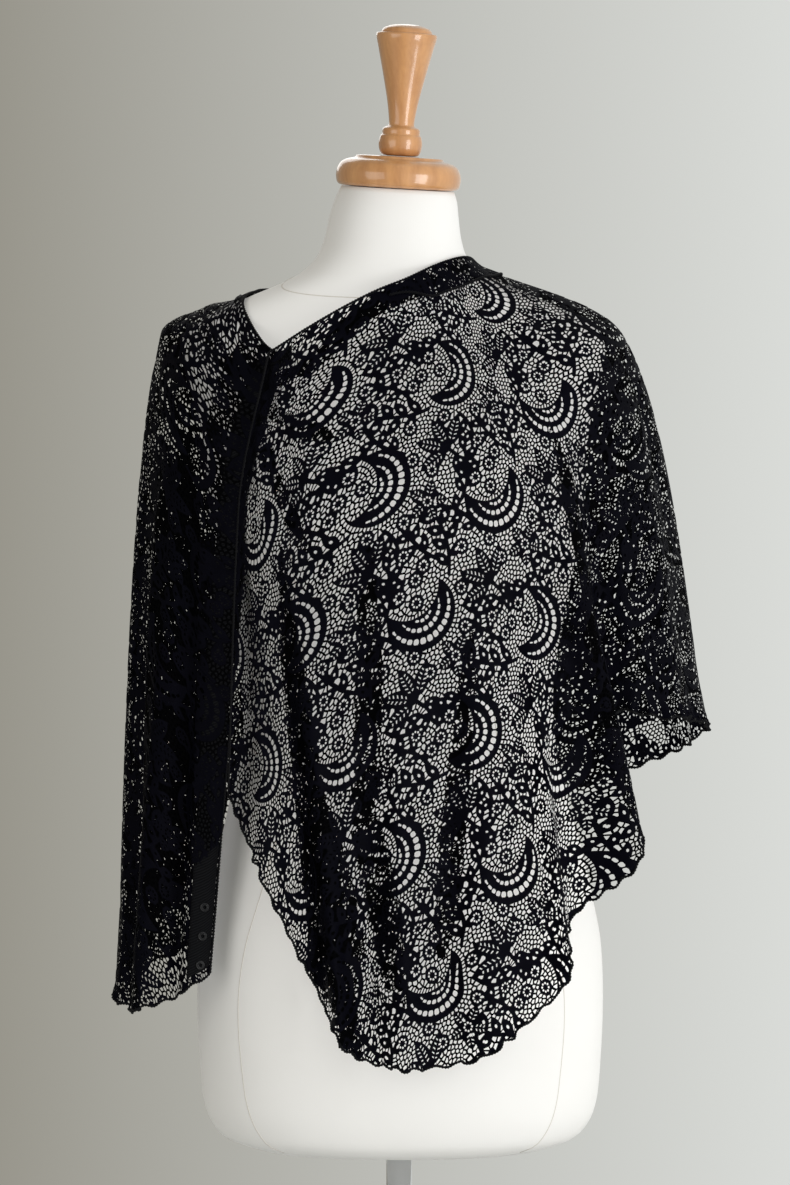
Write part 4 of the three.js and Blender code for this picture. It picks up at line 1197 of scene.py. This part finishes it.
def add_hems(material):
    """One rolled edge all round the shawl, and one along the neck fold."""
    down = np.linspace(0, 1, ROLL["down"])
    along = np.linspace(0, END_SECTION, ROLL["round"])
    loop = np.concatenate([
        on_lace(0, down), on_lace(along, 1),
        on_lace(END_SECTION, 1 - down), on_lace(along[::-1], 0, ROLL["lift"]),
    ])
    keep = np.concatenate([[True], np.linalg.norm(np.diff(loop, axis=0), axis=1) > ROLL["weld"]])
    inside = np.linspace(NECK_FOLD["from"], NECK_FOLD["to"], ROLL["fold"])
    fold_edge = on_lace(inside, drop_at(inside, fold_width(inside)), NECK_FOLD["height"])
    points, faces = join([rolled_edge(loop[keep], closed=True), rolled_edge(fold_edge)])
    return make_piece("rolled_hem", points, faces, material, "lace")


def stitch_line(points):
    """A row of short raised stitches along a path."""
    steps = STITCH["steps"]
    path = even_path(points, STITCH["pitch"] / steps)
    reach = int(steps * STITCH["share"]) + 1
    starts = range(0, len(path) - steps, steps)
    return join([tube(path[k:k + reach], STITCH["radius"], STITCH["sides"]) for k in starts])


def tape_piece(node, section_grid, drop_grid, heights, material):
    """A woven tape on the drape, its weave laid along its length; returns it with its flat size."""
    bottom, top = (on_lace(section_grid, drop_grid, heights[side]) for side in ("low", "high"))
    piece = make_piece("woven_" + node, *slab(bottom, top), material, "tape", node)
    down, across = lengths_along(top, 0), lengths_along(top, 1)
    weave = np.stack([across, down, 0 * down], axis=-1).reshape(-1, 3) * MM
    add_layer(piece, "weave", "FLOAT_VECTOR", "vector", np.tile(weave, (2, 1)))
    return piece, (across[:, -1].mean() * MM, down[-1].mean() * MM)


def add_snap_tape(material, thread):
    """The tape down the lace's end, and the two rows of stitches that hold it."""
    rows, columns = SNAP_GRID
    sections = np.linspace(SNAP_TAPE["from"], SNAP_TAPE["to"], columns)
    total = length_at(sections, 1)
    starts, ends = fold_width(sections) / total, 1 - SNAP_TAPE["above_hem"] / total
    section_grid = np.broadcast_to(sections, SNAP_GRID)
    drop_grid = starts + (ends - starts) * np.linspace(0, 1, rows)[:, None]
    tape = tape_piece("snap_tape", section_grid, drop_grid, SNAP_TAPE, material)
    height = SNAP_TAPE["high"] + STITCH["lift"]
    lines = [stitch_line(on_lace(section_grid[:, column], drop_grid[:, column], height))
             for column in (STITCH["column"], columns - 1 - STITCH["column"])]
    return tape, make_piece("tape_stitches", *join(lines), thread, "tape")


def add_corner_tape(material):
    """The short tape inside the front's upper corner."""
    rows, columns = CORNER_GRID
    top, inset = CORNER_TAPE["drop"], CORNER_TAPE["inset"]
    drops = np.linspace(top, top + CORNER_TAPE["height"], rows) / length_at(0, 1)
    places = np.linspace(inset, inset + CORNER_TAPE["width"], columns)
    samples = 400
    probe = np.linspace(0, CORNER_TAPE["sections"], samples)
    lines = [on_lace(probe, drop) for drop in drops]
    section_grid = np.array([np.interp(places, lengths_along(line, 0), probe) for line in lines])
    drop_grid = np.broadcast_to(drops[:, None], CORNER_GRID)
    return tape_piece("corner_tape", section_grid, drop_grid, CORNER_TAPE, material)


def turn_to(points, direction):
    """Points about +Z turned so that +Z points in a direction."""
    turn = Vector((0, 0, 1)).rotation_difference(Vector(direction)).to_matrix()
    return np.asarray(points) @ np.array(turn).T


def add_studs(material):
    """Press studs up the middle of the tape: a domed ring round a socket."""
    height = STUD["height"]
    outline = [(STUD["bore"], 0)] + [
        (across * STUD[size], up * height)
        for size, shares in (("radius", STUD_RING), ("bore", STUD_SOCKET)) for across, up in shares]
    section = (SNAP_TAPE["from"] + SNAP_TAPE["to"]) / 2
    total = length_at(section, 1)
    for k in range(STUD["count"]):
        up = SNAP_TAPE["above_hem"] + STUD["first_above"] + STUD["radius"] + k * STUD["pitch"]
        drop = 1 - up / total
        seat = on_lace(section, drop, SNAP_TAPE["high"] - STUD["sunk"])
        outward = on_lace(section, drop, 1.0) - on_lace(section, drop, 0.0)
        points, faces = lathe(outline, SIDES["stud"], closed=True)
        points = turn_to(points, outward) + seat
        make_piece(f"press_stud_{k + 1}", points, faces, material, "stud", f"stud_{k + 1}")


# The form and its stand

# Seams of the form's cover: bearing in degrees at a few rises, 270 being the front.
FORM_SEAMS = [
    [(4, 226), (60, 222), (140, 221), (240, 228), (360, 236), (500, 238), (600, 232), (660, 220), (704, 205)],
    [(4, 316), (60, 319), (140, 320), (240, 313), (360, 305), (500, 302), (600, 308), (660, 320), (704, 335)],
    [(4, 180), (140, 180), (360, 180), (520, 180), (640, 180)],
    [(4, 360), (140, 360), (360, 360), (520, 360), (640, 360)],
    [(4, 90), (140, 90), (360, 90), (600, 90), (812, 90)],
    [(4, 130), (140, 132), (360, 126), (560, 130), (690, 150)],
    [(4, 50), (140, 48), (360, 54), (560, 50), (690, 30)],
]
# The seam round the neck: its rise at the sides and the back, and how far it drops at the front.
NECK_SEAM = {"rise": 741, "front_drop": 24}
SEAM = {"radius": 0.6, "sunk": 0.38, "steps": 160}
FORM_GRID = (190, 112)


def sunk_line(rises, turns):
    """A line on the form, set a little into its cover."""
    points = form_point(rises, turns)
    reach = np.linalg.norm(points[:, :2], axis=1, keepdims=True)
    points[:, :2] *= 1 - SEAM["sunk"] / reach
    return points


def add_form(jersey, seam):
    """The form's cover, closed at both ends, and the seams set into it."""
    rows, sides = FORM_GRID
    rises = FORM_TOP_RISE * np.linspace(0, 1, rows)
    skin = form_point(rises[:, None], round_turn(sides)[None, :])
    points = np.concatenate([skin.reshape(-1, 3), [skin[0].mean(0)], [skin[-1].mean(0)]])
    faces = grid_faces(rows, sides, wrap=True)
    low, high, top = rows * sides, rows * sides + 1, (rows - 1) * sides
    for c in range(sides):
        n = (c + 1) % sides
        faces += [(low, n, c), (high, top + c, top + n)]
    make_piece("form_cover", points, faces, jersey, "jersey", "form_torso")
    lines = []
    for row in FORM_SEAMS:
        table = np.array(row, float)
        rises = np.linspace(table[0, 0], table[-1, 0], SEAM["steps"])
        turns = np.radians(table_curve(table[:, 0], table[:, 1], rises))
        lines.append(tube(sunk_line(rises, turns), SEAM["radius"], SIDES["seam"]))
    turns = round_turn(SEAM["steps"])
    rises = NECK_SEAM["rise"] - NECK_SEAM["front_drop"] * np.clip(-np.sin(turns), 0, 1)
    lines.append(tube(sunk_line(rises, turns), SEAM["radius"], SIDES["seam"], closed=True))
    make_piece("form_seams", *join(lines), seam, "jersey")


def add_neck_block(wood):
    """The turned block leans with the neck's top."""
    lean = np.array(Euler((NECK_LEAN["front"], NECK_LEAN["side"], 0)).to_matrix())
    foot = np.array((FORM_TOP_SIDE, 0, FORM_BOTTOM + FORM_TOP_RISE + BLOCK_GAP))
    for node, outline, lift in (("neck_cap", NECK_CAP, 0), ("finial", FINIAL, NECK_CAP[-1][1] + BLOCK_GAP)):
        points, faces = lathe(rounded(outline), SIDES["block"])
        make_piece("turned_" + node, (points + (0, 0, lift)) @ lean.T + foot, faces, wood, "wood", node)


def add_stand(chrome):
    for node, outline in (("base", rounded(BASE)), ("pole", POLE)):
        make_piece("chrome_" + node, *lathe(outline, SIDES[node]), chrome, "chrome", node)


# Materials

def add_node(tree, kind, links, **values):
    """A node with its inputs linked and its plain values set; in their names _ stands for a space."""
    node = tree.nodes.new("ShaderNode" + kind)
    for socket, source in links.items():
        tree.links.new(source, node.inputs[socket])
    set_values(node, values)
    return node


def set_values(node, values):
    for key, value in values.items():
        node.inputs[key.replace("_", " ")].default_value = value


def new_material(name, **values):
    """A material with its shader's plain values set; returns it with its nodes."""
    material = bpy.data.materials.new(name)
    material.use_nodes = True
    set_values(material.node_tree.nodes["Principled BSDF"], values)
    return material, material.node_tree


def object_place(tree):
    return tree.nodes.new("ShaderNodeTexCoord").outputs["Object"]


def attribute(tree, name, output):
    node = tree.nodes.new("ShaderNodeAttribute")
    node.attribute_name = name
    return node.outputs[output]


def noise(tree, place, scale, detail):
    return add_node(tree, "TexNoise", {"Vector": place}, Scale=scale, Detail=detail).outputs["Fac"]


def waves(tree, place, direction, scale, distortion, detail):
    node = add_node(tree, "TexWave", {"Vector": place}, Scale=scale, Distortion=distortion, Detail=detail)
    node.bands_direction = direction
    return node.outputs["Fac"]


def value_range(tree, factor, low, high):
    return add_node(tree, "MapRange", {"Value": factor}, To_Min=low, To_Max=high).outputs["Result"]


def colour_ramp(tree, factor, low, high):
    ramp = add_node(tree, "ValToRGB", {"Fac": factor})
    for element, colour in zip(ramp.color_ramp.elements, (low, high)):
        element.color = (*colour, 1)
    return ramp.outputs["Color"]


def link_shader(tree, tint, roughness=None, bump=None):
    """Links a shader's colour and roughness (factor, low, high) and its bump (height, distance, strength)."""
    shader = tree.nodes["Principled BSDF"]
    tree.links.new(colour_ramp(tree, *tint), shader.inputs["Base Color"])
    if roughness:
        tree.links.new(value_range(tree, *roughness), shader.inputs["Roughness"])
    if bump:
        height, distance, strength = bump
        node = add_node(tree, "Bump", {"Height": height}, Distance=distance, Strength=strength)
        tree.links.new(node.outputs["Normal"], shader.inputs["Normal"])


def grained(name, scale, detail, tints, roughness=None, bump=None, **values):
    """A material that one noise tints, roughens and raises."""
    material, tree = new_material(name, **values)
    grain = noise(tree, object_place(tree), scale, detail)
    link_shader(tree, (grain, *tints), roughness and (grain, *roughness), bump and (grain, bump, 1.0))
    return material


def lace_material():
    """Black threads; the motifs lighter and bluish, unevenly, as a painted sheen."""
    material, tree = new_material("black_lace", Specular_IOR_Level=0.02)
    place = object_place(tree)
    motif = attribute(tree, "motif", "Fac")
    # The motifs' lighter, bluish tone, varied by noise, is a painted sheen in their colour.
    painted_sheen = add_node(tree, "Math", {0: motif, 1: value_range(tree, noise(tree, place, 90, 3), 0.35, 1.0)})
    painted_sheen.operation = "MULTIPLY"
    link_shader(tree, (painted_sheen.outputs["Value"], (0.0003, 0.0003, 0.0006), (0.0023, 0.0023, 0.0052)),
                (motif, 0.7, 0.55), (noise(tree, place, 1600, 2), 0.0004, 0.7))
    return material


def tape_material():
    material, tree = new_material("twill_tape", Specular_IOR_Level=0.08)
    twill = waves(tree, attribute(tree, "weave", "Vector"), "DIAGONAL", 260, 0.6, 1)
    link_shader(tree, (twill, (0.0018, 0.0019, 0.0025), (0.0042, 0.0044, 0.0056)),
                (twill, 0.85, 0.65), (twill, 0.0004, 1.0))
    return material


def jersey_material():
    material, tree = new_material(
        "white_jersey", Specular_IOR_Level=0.2, Sheen_Weight=0.08, Sheen_Roughness=0.5)
    place = object_place(tree)
    knit = waves(tree, place, "X", 210, 1.5, 1)
    link_shader(tree, (noise(tree, place, 7, 4), (0.815, 0.80, 0.785), (0.895, 0.883, 0.87)),
                (knit, 0.95, 0.8), (knit, 0.0001, 0.12))
    return material


def wood_material():
    """Growth rings and fine fibre, both drawn out along the block, under lacquer."""
    material, tree = new_material("honey_wood", Specular_IOR_Level=0.5, Coat_Weight=0.9, Coat_Roughness=0.08)
    along = add_node(tree, "Mapping", {"Vector": object_place(tree)}, Scale=(1, 1, 0.16)).outputs["Vector"]
    rings, fibre = waves(tree, along, "X", 21, 9, 4), noise(tree, along, 330, 5)
    grain = add_node(tree, "Mix", {"A": rings, "B": fibre}, Factor=0.72).outputs["Result"]
    link_shader(tree, (grain, (0.43, 0.185, 0.062), (0.70, 0.36, 0.145)),
                (grain, 0.42, 0.3), (grain, 0.0002, 0.4))
    return material


# Stage, light and camera

def add_stage(material):
    """A plain floor, and surroundings that grow lighter from left to right, their darker left a painted
    shade.
    """
    make_object("floor", *lathe(FLOOR, SIDES["floor"]), material)
    world = bpy.data.worlds.new("pale_studio")
    bpy.context.scene.world = world
    world.use_nodes = True
    tree, change = world.node_tree, SURROUNDINGS["change"]
    place = tree.nodes.new("ShaderNodeTexCoord").outputs["Generated"]
    across = add_node(tree, "SeparateXYZ", {"Vector": place}).outputs["X"]
    side = add_node(tree, "MapRange", {"Value": across}, From_Min=-change, From_Max=change).outputs["Result"]
    colour = colour_ramp(tree, side, SURROUNDINGS["left"], SURROUNDINGS["right"])
    tree.links.new(colour, tree.nodes["Background"].inputs["Color"])
    set_values(tree.nodes["Background"], {"Strength": 1.0})


def add_light(name, place, target, size, power):
    data = bpy.data.lights.new(name, "AREA")
    data.shape = "RECTANGLE"
    data.size, data.size_y = size
    data.energy = power
    light = bpy.data.objects.new(name, data)
    light.location = place
    light.rotation_euler = (Vector(target) - Vector(place)).to_track_quat("-Z", "Y").to_euler()
    bpy.context.scene.collection.objects.link(light)


def add_camera():
    data = bpy.data.cameras.new("camera")
    data.sensor_fit = "VERTICAL"
    data.sensor_height = SENSOR
    data.lens = SENSOR * CAMERA_DISTANCE / (PHOTO_SIZE[1] * PIXEL)
    camera = bpy.data.objects.new("camera", data)
    middle = (PHOTO_SIZE[0] / 2 - POLE_COLUMN) * PIXEL
    camera.location = (middle * MM, -CAMERA_DISTANCE * MM, CAMERA_HEIGHT * MM)
    camera.rotation_euler = (math.pi / 2, 0, 0)
    bpy.context.scene.collection.objects.link(camera)
    bpy.context.scene.camera = camera


thread = grained("black_thread", 900, 2, ((0.001, 0.001, 0.0014), (0.004, 0.0041, 0.0055)),
                 (0.4, 0.65), 0.0003, Specular_IOR_Level=0.08)
plastic = grained("snap_plastic", 420, 3, ((0.002, 0.002, 0.0026), (0.006, 0.006, 0.0075)),
                  (0.22, 0.42), Specular_IOR_Level=0.2)
seam = grained("seam_thread", 700, 2, ((0.60, 0.56, 0.515), (0.72, 0.68, 0.635)),
               (0.95, 0.75), 0.0002, Specular_IOR_Level=0.1)
chrome = grained("polished_chrome", 26, 4, ((0.66, 0.67, 0.69), (0.82, 0.83, 0.85)),
                 (0.06, 0.16), Metallic=1.0)
paint = grained("pale_floor", 2.2, 3, ((0.58, 0.59, 0.575), (0.66, 0.67, 0.655)), Roughness=0.8)
twill = tape_material()

lace_pieces, fold, fold_area = add_lace(lace_material())
hems = add_hems(thread)
tape, stitches = add_snap_tape(twill, thread)
corner = add_corner_tape(twill)
add_studs(plastic)
add_form(jersey_material(), seam)
add_neck_block(wood_material())
add_stand(chrome)

add_stage(paint)
for light in LIGHTS:
    add_light(*light)
add_camera()
bpy.context.scene.view_settings.view_transform = "Standard"
